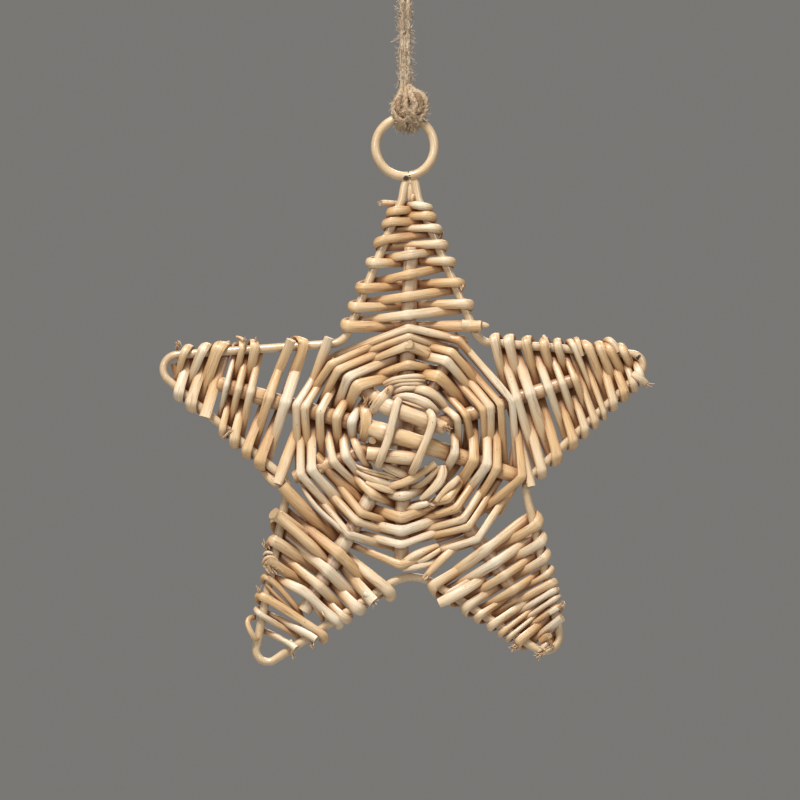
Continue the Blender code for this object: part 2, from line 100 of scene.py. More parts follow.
# Spokes, as in the frame: route from the hub, layer, the stretch in which they step back, ends that do
SPOKE = 0.0058
SPOKES = {
    "spoke_upright": (
        ((0.0025, 0.0798), (0.0, 0.0), (-0.0017, -0.0540)), 0, (0.0, 0.0), (True, True)),
    "spoke_left_arm": (
        ((-0.0785, 0.0226), (0.0, 0.0), (0.0485, -0.0164)), -1, (0.0080, 0.0206), (True, True)),
    "spoke_right_arm": (
        ((0.0727, 0.0244), (0.0, 0.0010), (-0.0468, -0.0168)), 1, (0.0080, 0.0206), (True, True)),
    "spoke_upper_left": (
        ((-0.0319, 0.0315), (-0.0095, 0.0139), (0.0168, 0.0038)), -1, (0.0125, 0.0240), (True, False)),
    "spoke_short": (
        ((-0.0160, -0.0066), (0.0066, -0.0096)), -1, (0.0, 0.0), (False, False)),
    "spoke_upper_right": (
        ((0.0088, 0.0156), (0.0205, 0.0365)), 0, (0.0, 0.0), (True, True)),
    "spoke_lower_left": (
        ((-0.0090, -0.0156), (-0.0424, -0.0735)), 0, (0.0, 0.0), (True, True)),
    "spoke_lower_right": (
        ((0.0102, -0.0144), (0.0441, -0.0622)), 0, (0.0, 0.0), (True, True)),
}

SPOKE_WIDTHS = {
    "spoke_upright": 0.0066, "spoke_left_arm": 0.0070, "spoke_right_arm": 0.0062,
    "spoke_upper_left": 0.0064, "spoke_short": 0.0062, "spoke_upper_right": 0.0054,
    "spoke_lower_left": 0.0068, "spoke_lower_right": 0.0066,
}

SPOKE_TONES = {
    "spoke_upright": 0.12, "spoke_left_arm": 0.75, "spoke_right_arm": 0.50,
    "spoke_upper_left": 0.60, "spoke_short": 0.55, "spoke_upper_right": 0.35,
    "spoke_lower_left": 0.02, "spoke_lower_right": 0.22,
}

# Weaving rods
ROD_THICKNESS = 0.0025
ROD_CLEARANCE = 0.0001
END_OVERHANG = 0.0036

# Rows of each arm, from the tip inwards. Each row holds the photo pixel at which the rod passes
# wire A and wire B; the axes say whether the pixel is x or y. A winding starts at one wire, in front
# (-1) or behind (1), and passes over and under the spoke from a given row on.
ARMS = {
    "top": {
        "axes": "yy", "spoke": "spoke_upright", "bow": 0.0,
        "windings": [
            {"starts_at": 0, "side": 1, "spoke_from": 7, "overhangs": (0.0065, 0.0050),
             "rows": [(204, 205), (209, 211), (218, 214), (220, 223), (230, 227), (238, 234),
                      (248, 243), (259, 251), (264, 260), (283, 267), (289, 281), (303, 290),
                      (308, 303), (321, 309), (327, 326)],
             "widths": [7.5, 8, 8.5, 9, 8, 8, 9, 8.5, 8.5, 9, 9, 9, 9.5, 10, 11]},
        ],
    },
    "left": {
        "axes": "xx", "spoke": "spoke_left_arm", "bow": 0.0,
        "windings": [
            {"starts_at": 1, "side": 1, "spoke_from": 99, "overhangs": (0.0030, 0.0030),
             "rows": [(183, 175), (191, 179), (201, 185), (208, 191), (216, 199), (226, 207)],
             "widths": [7, 10, 9, 10, 12, 12]},
            {"starts_at": 1, "side": 1, "spoke_from": 0, "overhangs": (0.0030, 0.0030),
             "rows": [(235, 218), (243, 222), (247, 229), (256, 234), (260, 240)],
             "widths": [5.5, 7, 7.5, 9, 8]},
            {"starts_at": 0, "side": -1, "spoke_from": 0, "overhangs": (0.0046, 0.0030),
             "rows": [(289, 247), (285, 253), (307, 260), (304, 267)],
             "widths": [9.5, 9.5, 10, 10.5]},
            {"starts_at": 0, "side": -1, "spoke_from": 0, "overhangs": (0.0040, 0.0050),
             "rows": [(327, 281)],
             "widths": [10.5]},
        ],
    },
    "lower_left": {
        "axes": "yx", "spoke": "spoke_lower_left", "bow": 0.0018,
        "windings": [
            {"starts_at": 0, "side": 1, "spoke_from": 99, "overhangs": (0.0030, 0.0030),
             "rows": [(630, 294)],
             "widths": [6]},
            {"starts_at": 1, "side": 1, "spoke_from": 99, "overhangs": (0.0030, 0.0040),
             "rows": [(616, 303), (611, 311)],
             "widths": [6, 7]},
            {"starts_at": 0, "side": -1, "spoke_from": 0, "overhangs": (0.0040, 0.0040),
             "rows": [(563, 341), (553, 346), (540, 355), (534, 361), (514, 370)],
             "widths": [9, 9.5, 11, 11, 11.5]},
            {"starts_at": 0, "side": 1, "spoke_from": 0, "overhangs": (0.0030, 0.0040),
             "rows": [(511, 377)],
             "widths": [11]},
        ],
    },
    "lower_right": {
        "axes": "xy", "spoke": "spoke_lower_right", "bow": 0.0,
        "windings": [
            {"starts_at": 0, "side": -1, "spoke_from": 99, "overhangs": (0.0015, 0.0030),
             "rows": [(541, 632)],
             "widths": [9]},
            {"starts_at": 1, "side": -1, "spoke_from": 9, "overhangs": (0.0050, 0.0040),
             "rows": [(530, 621), (519, 614), (516, 608), (512, 603), (508, 600), (505, 596),
                      (499, 592), (494, 588), (488, 584), (480, 576), (478, 569), (466, 561),
                      (463, 551), (448, 545), (449, 534), (432, 528), (437, 514)],
             "widths": [8, 8, 6, 5, 6, 6, 7, 8, 8.5, 7, 8, 9, 9, 9.5, 10, 10, 10.5]},
        ],
    },
    "right": {
        "axes": "xx", "spoke": "spoke_right_arm", "bow": 0.0,
        "windings": [
            {"starts_at": 1, "side": 1, "spoke_from": 11, "overhangs": (0.0030, 0.0045),
             "rows": [(640, 632), (636, 625), (633, 621), (628, 611), (624, 609), (618, 602),
                      (613, 599), (609, 591), (603, 580), (599, 576), (594, 569), (590, 563),
                      (585, 557), (578, 550), (573, 543), (567, 534), (557, 525), (550, 514),
                      (541, 508), (538, 500), (529, 494)],
             "widths": [7.5, 8.5, 7.5, 8.5, 8.5, 9, 8.5, 10, 6, 6, 7.5, 7, 8, 7.5, 8.5, 9, 9.5, 11, 9.5,
                         9.5, 9]},
        ],
    },
}

# Middle: the spoke ends that the round rods pass, going clockwise, even ones and odd ones
EVEN_SPOKES = (
    ("spoke_upper_right", 1), ("spoke_left_arm", 1), ("spoke_upright", 1),
    ("spoke_right_arm", 1), ("spoke_upper_left", 0),
)
ODD_SPOKES = (
    ("spoke_right_arm", 0), ("spoke_lower_right", 1), ("spoke_lower_left", 1),
    ("spoke_left_arm", 0), ("spoke_upright", 0),
)

# Round rods, in photo pixels. Each passes in front of every second spoke at these distances from the
# hub, and behind the spokes between. First come its first spoke, its width and the distances behind
# the spokes before and after.
EVEN_RODS = (
    (0, 9.0, 50, 66, (52, 53, 60, 63)),
    (4, 11.0, 64, 62, (71,)),
    (0, 10.5, 64, 80, (70, 73, 81)),
    (3, 8.5, 69, 84, (76,)),
    (4, 9.5, 74, 86, (83, 87, 87)),
    (2, 10.0, 92, 97, (94, 99)),
    (4, 8.5, 92, 104, (95, 97, 97)),
    (2, 8.5, 104, 109, (108, 111)),
    (4, 8.0, 108, 112, (104, 111)),
    (1, 8.5, 116, 106, (124,)),
    (2, 8.0, 127, 121, (128,)),
)
ODD_RODS = (
    (0, 7.5, 46, 56, (57,)),
    (3, 9.0, 52, 55, (57,)),
    (0, 7.5, 62, 74, (65,)),
    (1, 9.0, 72, 76, (76, 66, 72, 73)),
    (0, 8.0, 80, 86, (83, 88, 88)),
    (3, 8.5, 88, 90, (89, 92, 91)),
    (1, 8.5, 96, 100, (101, 97, 105, 101)),
    (0, 7.5, 99, 106, (101, 110)),
    (2, 8.0, 113, 112, (112, 113, 109)),
    (0, 7.5, 111, 119, (113,)),
    (1, 7.5, 121, 126, (125,)),
)

# Loose rods of the middle, laid down one by one: width in photo pixels, thickness in millimetres,
# tone from pale to dark, how far each end narrows, and the points as pixel, pixel and depth in
# millimetres.
MIDDLE_RODS = (
    # thin strands wrapped over the upright spoke
    (4.6, 1.2, 0.30, (0.6, 0.6), ((383, 384, -1.6), (391, 380, -3.4), (400, 377.5, -4.2), (414, 376, -4.2),
        (424, 377, -2.6), (428, 381, -0.6))),
    (4.2, 1.2, 0.55, (0.6, 0.6), ((384, 386, -1.6), (394, 381.5, -3.7), (404, 380.4, -4.1),
        (417, 380.2, -4.0),
        (427, 381, -1.4))),
    (3.8, 1.1, 0.35, (0.6, 0.5), ((390, 388, -2.0), (398, 384.6, -3.8), (408, 383.6, -3.9),
        (418, 383.6, -3.7),
        (425, 386, -1.6))),
    (6.0, 1.7, 0.50, (0.8, 0.7), ((393, 397, -1.6), (398, 390.5, -3.6), (404, 388.4, -4.1),
        (413, 388.6, -3.9),
        (422, 386.6, -2.0), (427, 384, -0.2))),
    # split flat rod below them, in two halves
    (8.4, 1.7, 0.30, (0.45, 0.8), ((391, 400, -3.2), (400, 396.4, -4.6), (409, 396.4, -5.4),
        (418, 399.4, -5.6),
        (427, 403.6, -5.6), (434, 409.5, -4.6), (437, 414, -3.0))),
    (3.4, 1.2, 0.55, (0.5, 0.4), ((402, 401.4, -4.6), (409, 403.8, -5.2), (418, 406.8, -5.5),
        (427, 409.6, -5.0))),
    (4.6, 1.6, 0.10, (0.6, 0.6), ((401, 403, -3.4), (407, 406.4, -4.2), (415, 410.6, -4.4),
        (425, 413, -3.8))),
    # short loop over the upper right spoke
    (8.6, 2.2, 0.40, (0.75, 0.8), ((411, 391.4, -1.6), (417, 390.2, -3.6), (425, 390.8, -4.6),
        (433, 394.4, -4.6),
        (440, 400.6, -3.6), (447, 409, -1.6))),
    # stub across the upper left spoke
    (9.0, 2.2, 0.55, (0.75, 0.8), ((369, 415, -2.6), (375, 407, -5.4), (380, 400.4, -7.0),
        (386, 393.6, -5.6),
        (392, 387, -2.6))),
    # torn brown wrap over the left spoke
    (10.0, 1.5, 0.98, (0.8, 0.7), ((362, 403, -1.0), (364.4, 409, -3.6), (366, 416, -5.0),
        (366.4, 426, -5.2),
        (364.6, 434, -4.4), (362, 441, -1.6))),
    (3.0, 1.2, 0.85, (0.5, 0.5), ((368.6, 406, -1.6), (370, 412, -4.2), (370.6, 420, -5.2),
        (369.6, 430, -5.0))),
    # rod end that points forward
    (7.6, 2.9, 0.60, (0.95, 1.0), ((372.4, 440.4, -5.0), (374, 439, -2.0), (376, 437, 1.5))),
    # thin rod over the lower left spoke end
    (7.4, 1.9, 0.45, (0.8, 0.8), ((352, 436, -0.4), (355, 443, -3.2), (358, 450, -4.2), (362, 457.4, -4.0),
        (366.4, 464.4, -2.6), (370, 470, -0.6))),
    # rods below the middle
    (8.2, 2.2, 0.35, (0.5, 0.8), ((369, 459.4, -3.0), (374, 461.6, -4.4), (382, 464.8, -4.8),
        (392, 469.4, -4.8),
        (402, 474.2, -4.4), (412, 477.6, -2.8))),
    (7.0, 2.2, 0.15, (0.8, 0.9), ((383, 469, -2.6), (389, 466, -3.8), (396, 462, -4.6))),
    (3.4, 1.4, 0.55, (0.5, 0.5), ((354, 464, -2.6), (362, 468.4, -3.6), (373, 471.2, -4.2),
        (385, 473, -4.5),
        (396, 477.6, -4.2))),
    (3.2, 1.4, 0.80, (0.5, 0.5), ((357, 467, -2.6), (366, 471.6, -3.8), (377, 474.8, -4.4),
        (388, 477, -4.4),
        (396, 480.4, -3.8))),
    (8.0, 1.9, 0.35, (0.6, 0.8), ((356, 470, -2.0), (366, 476, -3.2), (374, 479.6, -3.9),
        (382, 482.2, -4.1),
        (390, 484.6, -3.6))),
    (7.4, 2.0, 0.55, (0.7, 0.8), ((366, 482, -3.0), (376, 486, -4.3), (385, 489, -4.3),
        (395, 491.8, -3.2))),
    (8.2, 2.3, 0.80, (0.85, 0.85), ((389, 486.4, -3.4), (396, 485, -4.6), (404, 482.6, -5.2),
        (413, 477.8, -5.4),
        (424, 470.8, -5.0), (435.4, 463.6, -4.0))),
    (6.6, 1.7, 0.50, (0.8, 0.8), ((411, 487.6, -1.4), (420, 484.6, -2.6), (428, 479.4, -3.2),
        (435, 471.4, -3.6),
        (438, 466, -3.0))),
    (9.6, 2.0, 0.40, (0.9, 0.3), ((442, 466, -2.2), (443, 474, -3.8), (439, 483.4, -4.4),
        (430.6, 491.6, -4.4),
        (420, 499.4, -3.2))),
    (7.6, 1.9, 0.65, (0.8, 0.6), ((459, 477, -3.0), (453.4, 483, -4.3), (447, 488.4, -4.6),
        (441, 495, -4.5),
        (436, 501.4, -4.2))),
    (7.4, 2.1, 0.20, (0.8, 0.8), ((405, 510.6, -1.4), (413, 507.6, -2.6), (421, 505, -3.2),
        (428, 503.4, -3.3))),
    (8.0, 2.1, 0.85, (0.8, 0.8), ((420, 511.4, -0.6), (430, 507, -1.4), (439, 501, -2.0))),
    # knotty rod end over the top of the upright spoke
    (10.4, 4.0, 0.60, (0.9, 0.9), ((408.6, 344.6, -6.0), (410.6, 346.6, -3.9), (418, 350, -2.4),
        (428, 355, -0.8))),
    # rod ends at the bottom
    (6.6, 2.1, 0.35, (0.9, 0.7), ((403, 569, -3.2), (413, 567.6, -3.6), (426, 565, -3.2),
        (440, 561, -1.6))),
    (8.0, 2.3, 0.55, (0.8, 0.8), ((403, 562.6, -3.6), (412, 556.8, -4.0), (425, 550.4, -3.0),
        (438, 546, -0.6))),
    (5.4, 1.9, 0.45, (0.9, 0.8), ((417.6, 562, -3.2), (428, 557.6, -3.4), (440, 549.4, -2.0))),
    (6.0, 2.0, 0.70, (0.9, 0.9), ((518, 481, 1.4), (508, 498, 1.8), (499, 515, 1.2))),
    # rods at the back of the round weave, seen through its gaps
    (8.0, 2.2, 0.70, (0.8, 0.8), ((452, 386, 4.2), (463, 402, 4.5), (468, 422, 4.6), (467, 444, 4.6),
        (457, 466, 4.4),
        (444, 482, 4.2))),
    (7.4, 2.2, 0.50, (0.8, 0.8), ((474, 386, 4.2), (483, 408, 4.5), (486, 430, 4.6), (481, 456, 4.6),
        (470, 478, 4.2))),
    (7.0, 2.2, 0.75, (0.8, 0.8), ((510, 392, 4.2), (515, 416, 4.5), (516, 442, 4.6), (511, 466, 4.2))),
    (7.4, 2.2, 0.60, (0.8, 0.8), ((341, 384, 4.2), (331, 404, 4.6), (328, 426, 4.6), (333, 450, 4.4),
        (343, 468, 4.2))),
    (6.6, 2.2, 0.80, (0.8, 0.8), ((358, 388, 4.2), (347, 404, 4.6), (343, 422, 4.6), (346, 442, 4.2))),
    (7.4, 2.2, 0.65, (0.8, 0.8), ((362, 378, 4.2), (380, 366, 4.5), (402, 361, 4.6), (424, 365, 4.4),
        (440, 374, 4.2))),
    (7.4, 2.2, 0.65, (0.8, 0.8), ((362, 522, 4.2), (384, 530, 4.5), (408, 532, 4.6), (432, 526, 4.4),
        (452, 514, 4.2))),
    # rods between the lower left of the round weave and the arm
    (7.4, 2.2, 0.50, (0.8, 0.8), ((297, 470, 2.6), (307, 489, 1.4), (324, 511, 0.8), (341, 530, 0.4),
        (352, 543, 2.0))),
    (4.8, 1.8, 0.05, (0.6, 0.8), ((302, 487, -1.6), (313, 503.6, -2.8), (328, 518, -3.2),
        (345, 532, -3.6))),
    (7.0, 2.2, 0.35, (0.7, 0.8), ((318, 477, 2.0), (331, 498, 0.6), (347, 515, 1.0), (358, 526, 2.4))),
    # rods between the bottom of the round weave and the lower right arm
    (8.0, 2.4, 0.30, (0.8, 0.8), ((440, 549, 1.4), (455, 543, 0.4), (470, 538, 0.8), (482, 533, 2.4))),
    (7.6, 2.4, 0.55, (0.8, 0.9), ((424, 578.6, -2.6), (433, 568, -3.4), (444, 557, -2.8),
        (456, 547, -0.6))),
    (7.0, 2.2, 0.60, (0.8, 0.8), ((436, 541, 2.2), (450, 536, 2.4), (466, 530, 2.6))),
    (8.6, 2.4, 0.25, (0.9, 0.8), ((484, 506, 1.6), (494, 514, 2.2), (505, 497, 2.4), (518, 480, 2.2))),
)

# Loose rod ends of the arms, in the same form
ARM_RODS = {
    "top": (
        (6.6, 2.2, 0.30, (0.75, 0.9), ((381.6, 202.6, 1.2), (390, 203.2, 2.6), (400, 204.2, 3.1),
            (408, 204.6, 2.6))),
        (10.4, 2.6, 0.45, (0.9, 0.15), ((462, 324.6, -3.4), (470, 324.8, -3.5), (480, 325, -3.4),
            (489, 325.8, -2.8))),
        (3.4, 1.2, 0.80, (0.8, 0.4), ((441, 240, 1.0), (442.6, 236, 1.6), (443, 231.6, 1.4))),
        (4.6, 1.6, 0.70, (0.9, 0.6), ((412.6, 202, -1.2), (412.4, 198, -2.0), (413.6, 194.6, -1.6))),
    ),
    "left": (
        (5.4, 1.8, 0.05, (0.7, 0.7), ((221, 347, 1.4), (225, 343.6, 1.9), (230, 342.8, 1.2))),
        (4.6, 1.8, 0.10, (0.8, 0.7), ((232.6, 347, 1.4), (234, 344.6, 1.8), (236, 343.2, 1.2))),
        (3.0, 1.0, 0.75, (0.9, 0.5), ((244.6, 345, -2.8), (243.6, 340.4, -2.4), (241, 338, -1.6),
            (236, 336.4, -1.0))),
        (3.4, 1.2, 0.70, (0.9, 0.4), ((177, 352, 1.6), (176, 347.6, 0.8), (178.6, 344.6, -0.6))),
        (9.0, 3.0, 0.90, (0.9, 0.9), ((180, 380, 2.6), (177, 372, 2.2), (175, 363, 1.8))),
        (8.6, 2.4, 0.15, (0.8, 0.7), ((262, 468, 2.4), (268, 476, 0.6), (275, 483, -1.0),
            (281, 484, -2.6))),
    ),
    "lower_left": (
        (5.2, 1.8, 0.60, (0.9, 0.9), ((258, 637, -1.6), (254.6, 638, -3.4), (250.4, 630.6, -4.2),
            (247, 622.4, -3.2), (249.4, 617.6, -1.6), (255, 617.4, 0.4))),
        (10.6, 4.2, 0.66, (0.8, 1.0), ((326, 560.6, -0.4), (313, 547, -3.2), (300, 535.4, -4.2),
            (287, 523.8, -4.6),
            (276.4, 515.0, -5.6), (273.8, 513.0, -6.8))),
        (4.0, 1.4, 0.10, (0.6, 0.5), ((271, 573, 1.8), (266, 569, -1.2), (266, 562.6, -3.6),
            (272, 560, -4.0),
            (280, 565, -3.2))),
        (3.6, 1.3, 0.25, (0.6, 0.5), ((269, 570, 1.8), (263.6, 565, -1.0), (265, 558.6, -3.4),
            (271, 556, -3.8),
            (278, 560.6, -3.0))),
        (3.6, 1.3, 0.20, (0.6, 0.5), ((268, 562, 2.0), (264, 556, -1.2), (267, 551.4, -3.2),
            (273, 553.6, -3.4))),
        (3.2, 1.2, 0.35, (0.6, 0.5), ((272, 571, -3.4), (268, 566, -4.4), (270, 561, -4.2),
            (277, 566.4, -3.8),
            (284, 572.4, -2.8))),
        (3.0, 1.1, 0.10, (0.7, 0.4), ((268, 552, 1.4), (265.6, 546, -1.2), (267.6, 541.6, -3.0))),
        (8.0, 2.4, 0.75, (0.8, 0.8), ((262, 603, 2.4), (257.6, 597, -0.6), (262, 595.6, -3.2),
            (276, 603.6, -2.8),
            (296, 616.4, -2.6), (318, 631, -3.4), (325.6, 637, -2.4), (322, 641.6, 1.0))),
        (6.0, 2.0, 0.65, (0.8, 0.6), ((267, 584, 2.4), (262.4, 579.6, -0.6), (266, 575.6, -3.2),
            (275, 583, -2.8),
            (288, 597.6, -1.4), (299, 611.6, 0.4), (303.6, 622, 2.0))),
        (5.0, 1.7, 0.85, (0.7, 0.6), ((266, 584, -2.4), (279, 598.4, -1.6), (291, 611, -0.2),
            (303, 625.6, 1.6))),
        (9.0, 2.4, 0.15, (0.8, 0.8), ((270, 576.6, 2.4), (280, 580.4, 0.2), (293, 586, -3.0),
            (305, 591.4, -4.2),
            (314, 599.6, -4.0), (325, 611, -2.8), (334, 618, -3.4), (340, 622.4, -2.6),
            (338, 627.6, 0.8))),
        (6.6, 1.8, 0.45, (0.8, 0.7), ((306, 592.4, -3.2), (312.6, 600, -3.2), (318.6, 610, -1.8),
            (323, 621, 0.6))),
        (11.0, 2.6, 0.45, (0.8, 0.9), ((344, 554, 2.6), (357, 564.6, 0.4), (371, 576, -2.2),
            (385, 587, -3.5),
            (391.6, 594, -2.6), (388, 598.6, 0.9))),
        (6.2, 1.6, 0.05, (0.8, 0.3), ((364, 593, -3.6), (371, 596.4, -4.4), (378.6, 600, -4.0))),
        (5.6, 1.8, 0.30, (0.7, 0.6), ((290, 640, -2.6), (294, 648, -3.8), (292, 654.6, -1.4))),
    ),
    "lower_right": (
        (10.4, 2.8, 0.25, (0.8, 1.0), ((484, 578.4, 0.4), (474, 584.4, -2.6), (462, 591.4, -4.8),
            (449, 598.4, -5.4),
            (439, 603, -4.8))),
        (7.0, 3.0, 0.95, (0.95, 0.95), ((541, 641, -0.6), (546, 637, -2.6), (549, 635, -5.2))),
        (5.6, 1.6, 0.10, (0.7, 0.5), ((549, 641, -2.4), (544, 646, -3.8), (538, 651.6, -3.0))),
        (5.0, 1.5, 0.30, (0.7, 0.5), ((552, 646, -2.4), (547, 650, -3.8), (541, 655, -2.4))),
        (6.0, 1.6, 0.10, (0.7, 0.5), ((549, 613, -3.6), (556, 608, -4.2), (561.6, 603.6, -1.6))),
    ),
    "right": (
        (4.8, 1.6, 0.35, (0.8, 0.6), ((549, 348, -2.8), (546.6, 341, -3.0), (543, 335.4, -2.2))),
        (5.4, 1.8, 0.45, (0.9, 0.9), ((582, 356, -2.6), (578.6, 346, -3.4), (576, 338, -1.8),
            (574.6, 343, 1.0))),
        (6.4, 2.0, 0.40, (0.9, 0.9), ((618, 352, -2.8), (612, 342, -3.2), (607, 339.4, -1.4),
            (604.6, 344, 1.4))),
        (8.4, 2.0, 0.45, (0.9, 0.6), ((632, 374, -3.4), (639, 378, -4.4), (646.6, 383.6, -2.6))),
    ),
}

# Torn fibres: pixel, pixel, depth and direction in millimetres and pixels, count, length, reach and tone
ARM_FRAYS = {
    "top": (
        (383, 202.6, 1.4, (-1.0, -0.25), 9, 1.6, 1.4, 0.4), (462, 284, -2.6, (0.35, 1.0), 8, 3.0, 1.0, 0.8),
    ),
    "left": (
        (244, 343, -2.8, (0.1, -1.0), 9, 2.6, 0.8, 0.5), (256, 341, -2.8, (0.2, -1.0), 6, 1.6, 0.9, 0.8),
        (232, 431, -3.2, (-0.8, 0.6), 16, 3.2, 1.4, 0.3), (238, 437, -3.2, (-0.7, 0.7), 12, 3.0, 1.2, 0.4),
        (180, 346, -1.6, (-0.6, -0.8), 8, 2.4, 0.8, 0.5), (176, 374, 1.6, (0.0, 1.0), 6, 2.0, 1.0, 0.8),
    ),
    "lower_left": (
        (268, 566, -3.6, (0.8, 0.5), 40, 4.6, 2.0, 0.2), (267, 548, -2.6, (-0.3, -1.0), 16, 2.6, 1.6, 0.3),
        (371, 600, -4.0, (0.2, 0.9), 16, 3.0, 1.3, 0.2), (260, 592, -2.6, (-0.1, -1.0), 7, 2.8, 0.8, 0.5),
        (311, 642, -3.4, (0.6, 0.8), 10, 2.8, 1.2, 0.7), (293, 652, -2.4, (0.1, 1.0), 10, 2.4, 0.9, 0.3),
        (277, 568, -2.6, (0.8, 0.5), 10, 4.6, 1.0, 0.2),
        (321, 606, -3.6, (0.5, 0.9), 10, 4.0, 1.0, 0.7),
    ),
    "lower_right": (
        (561, 607, -2.8, (0.5, -0.6), 20, 2.8, 1.3, 0.3), (516, 646, -3.2, (-0.7, 0.4), 18, 2.8, 1.2, 0.4),
        (541, 653, -3.0, (-0.8, 0.6), 14, 3.0, 1.2, 0.3), (550, 645, -2.8, (-0.6, 0.8), 14, 3.4, 1.4, 0.2),
        (482, 616, -3.2, (-0.9, 0.4), 8, 2.4, 1.0, 0.4), (555, 590, -2.4, (0.2, -0.4), 8, 2.0, 1.0, 0.5),
    ),
    "right": (
        (647, 384, -2.6, (0.8, 0.5), 9, 2.2, 1.0, 0.4), (598, 349, -2.6, (0.2, -0.8), 8, 1.8, 1.0, 0.5),
        (618, 354, -2.4, (-0.2, 0.6), 8, 2.0, 1.0, 0.8), (612, 402, -3.0, (0.8, 0.5), 8, 2.2, 1.0, 0.3),
    ),
}

# Torn fibres of the middle, in the same form
MIDDLE_FRAYS = (
    (444, 427, -9.0, (0.9, 0.5), 16, 2.6, 1.3, 0.95), (366, 404, -4.6, (0.2, -1.0), 12, 3.0, 1.4, 0.95),
    (427, 504, -3.6, (0.9, 0.0), 10, 4.0, 0.8, 0.15), (390, 463, -5.0, (0.9, -0.3), 8, 2.6, 0.8, 0.3),
    (396, 479, -4.6, (0.8, 0.6), 8, 2.6, 0.8, 0.4), (386, 393, -6.0, (0.6, -0.9), 8, 2.4, 0.9, 0.8),
    (403, 560, -4.0, (-0.9, 0.4), 8, 2.4, 0.9, 0.5), (351, 531, -4.6, (-0.4, -0.5), 10, 2.8, 1.2, 0.3),
    (320, 470, -3.8, (0.7, 0.9), 8, 2.0, 1.0, 0.5), (428, 575, -3.6, (-0.7, 0.9), 8, 2.4, 0.9, 0.3),
)

# Skeins over the front rods: width in photo pixels, and pixel, pixel and depth in millimetres
BINDINGS = {
    "left": (7.8, ((400, 399, -7.4), (396.6, 403, -9.4), (394.4, 414, -10.1), (391.2, 428, -10.1),
                   (387.6, 441, -10.1), (384.6, 449, -10.0), (381.8, 456, -9.8), (379.4, 462.6, -8.4),
                   (377.6, 467, -6.4))),
    "right": (7.8, ((427.6, 410.6, -7.0), (431.6, 414.6, -9.4), (432.8, 421, -10.1), (429.6, 432, -10.1),
                    (425, 443, -10.1), (420.4, 454, -10.0), (416.2, 464, -9.4), (412.4, 471.4, -7.4),
                    (411, 476, -4.6))),
}

# Thick butt ends, in the same form
BUTTS = {
    "inner": (13.8, ((314.6, 456, -0.6), (338, 479.6, 0.6), (361, 502, 3.4))),
    "outer": (13.8, ((282.4, 485.6, -4.9), (297, 502, -3.2), (314, 519, 0.6), (335, 538, 4.8))),
}

# Strands of the hitch on the ring: pixel, pixel, depth in millimetres
KNOT_STRANDS = (
    ((404, 86, -0.4), (400.5, 95, -2.4), (395.6, 102, -3.4), (393.2, 110, -2.9), (396.4, 117, -4.2),
     (401.6, 122, -4.8), (404.6, 127.6, -2.4), (404, 129, 0.8), (400, 121, 3.6), (396, 112, 3.6),
     (394.6, 104, 1.6), (398.6, 98, -0.5)),
    ((408, 86, -0.4), (413, 91.6, -1.6), (420, 94, -2.2), (425, 100, -2.2), (425.6, 108, -1.6),
     (423, 115, -2.8), (418, 120, -4.2), (415, 127, -2.4), (414, 129, 0.6), (417, 121, 3.6),
     (421, 110, 3.6), (420, 101, 1.6), (412, 96, 0.6)),
    ((405, 87, -1.2), (405.6, 95, -3.2), (404.6, 103, -4.6), (406, 111, -5.0), (409, 119, -5.1),
     (411, 126, -3.2), (410, 129, 0.4), (409, 120, 3.4), (408, 108, 3.4)),
    ((408.4, 90, -1.8), (412.6, 99, -4.2), (415.4, 107, -4.9), (413, 114, -5.1), (406, 120, -5.0),
     (400, 124, -3.4), (398, 127, -0.6)),
    ((401.6, 98, -3.0), (398, 103.4, -4.6), (397.6, 110, -5.1), (401, 115, -5.2), (406, 114.8, -5.3),
     (412, 112.4, -5.4), (417.4, 113.6, -4.8), (421, 109, -3.8), (420.4, 102, -3.8), (415, 97, -3.4)),
    ((402.6, 112.4, -4.9), (408, 112.2, -5.7), (412.8, 115, -6.0), (415.2, 120, -5.4), (414, 126, -3.2),
     (411, 129, 0.0)),
    ((400, 96, 0.4), (404, 101, 1.6), (411, 104, 2.0), (418, 107, 1.0), (414, 112, 2.6), (404, 110, 3.0)),
)

# Twine, as in the frame
TWINE = 0.0021
TWINE_GAP = 0.0002
LOOP_RADIUS = 0.0046
LOOP_NARROWS_OVER = 0.0100
KNOT_HEIGHT = 0.0168
KNOT_ABOVE_RING_WIRE = 0.0032
TWINE_TWIST = 950.0
TWINE_HAIRS = 1500
STRAY_STRAND = 0.0013
KNOT_TWINE = 0.0031
KNOT_HAIRS = 420

# Painted light: the weave's colour is painted paler away from the star's middle plane, fully so from this far
# off it, so that its inner layers look shaded
PAINTED_LIGHT_FROM = 0.0048

# Peeled willow's colours, the share of its grain that is specked, and how strong its stains are
WILLOW_PALE = (0.83, 0.73, 0.555)
WILLOW_WARM = (0.72, 0.475, 0.235)
WILLOW_DEEP = (0.46, 0.215, 0.070)
SPECK_SHARE = 0.22
STAIN_STRENGTH = 0.7

SKEIN_THICKNESS = 0.0013
SKEIN_TONE = 0.45
BUTT_THICKNESS = 0.0054
BUTT_TONE = 0.95

# Floor, sky and soft lights: name, place, size in metres, watts and colour
FLOOR_COLOUR = (0.72, 0.71, 0.69, 1.0)
SKY_COLOUR = (0.84, 0.81, 0.77, 1.0)
SKY_STRENGTH = 0.23
LIGHTS_AIM = (0.0, 0.0, -0.17)
LIGHTS = (
    ("key", (-0.30, -0.75, 1.15), 0.45, 28.5, (1.0, 0.98, 0.96)),
    ("left", (-0.95, -1.5, 0.20), 0.35, 6.0, (1.0, 0.99, 0.97)),
    ("right", (0.90, -1.5, 0.30), 0.35, 5.5, (1.0, 0.99, 0.97)),
    ("back", (0.3, 1.2, 1.0), 0.8, 7.0, (1.0, 0.98, 0.95)),
)

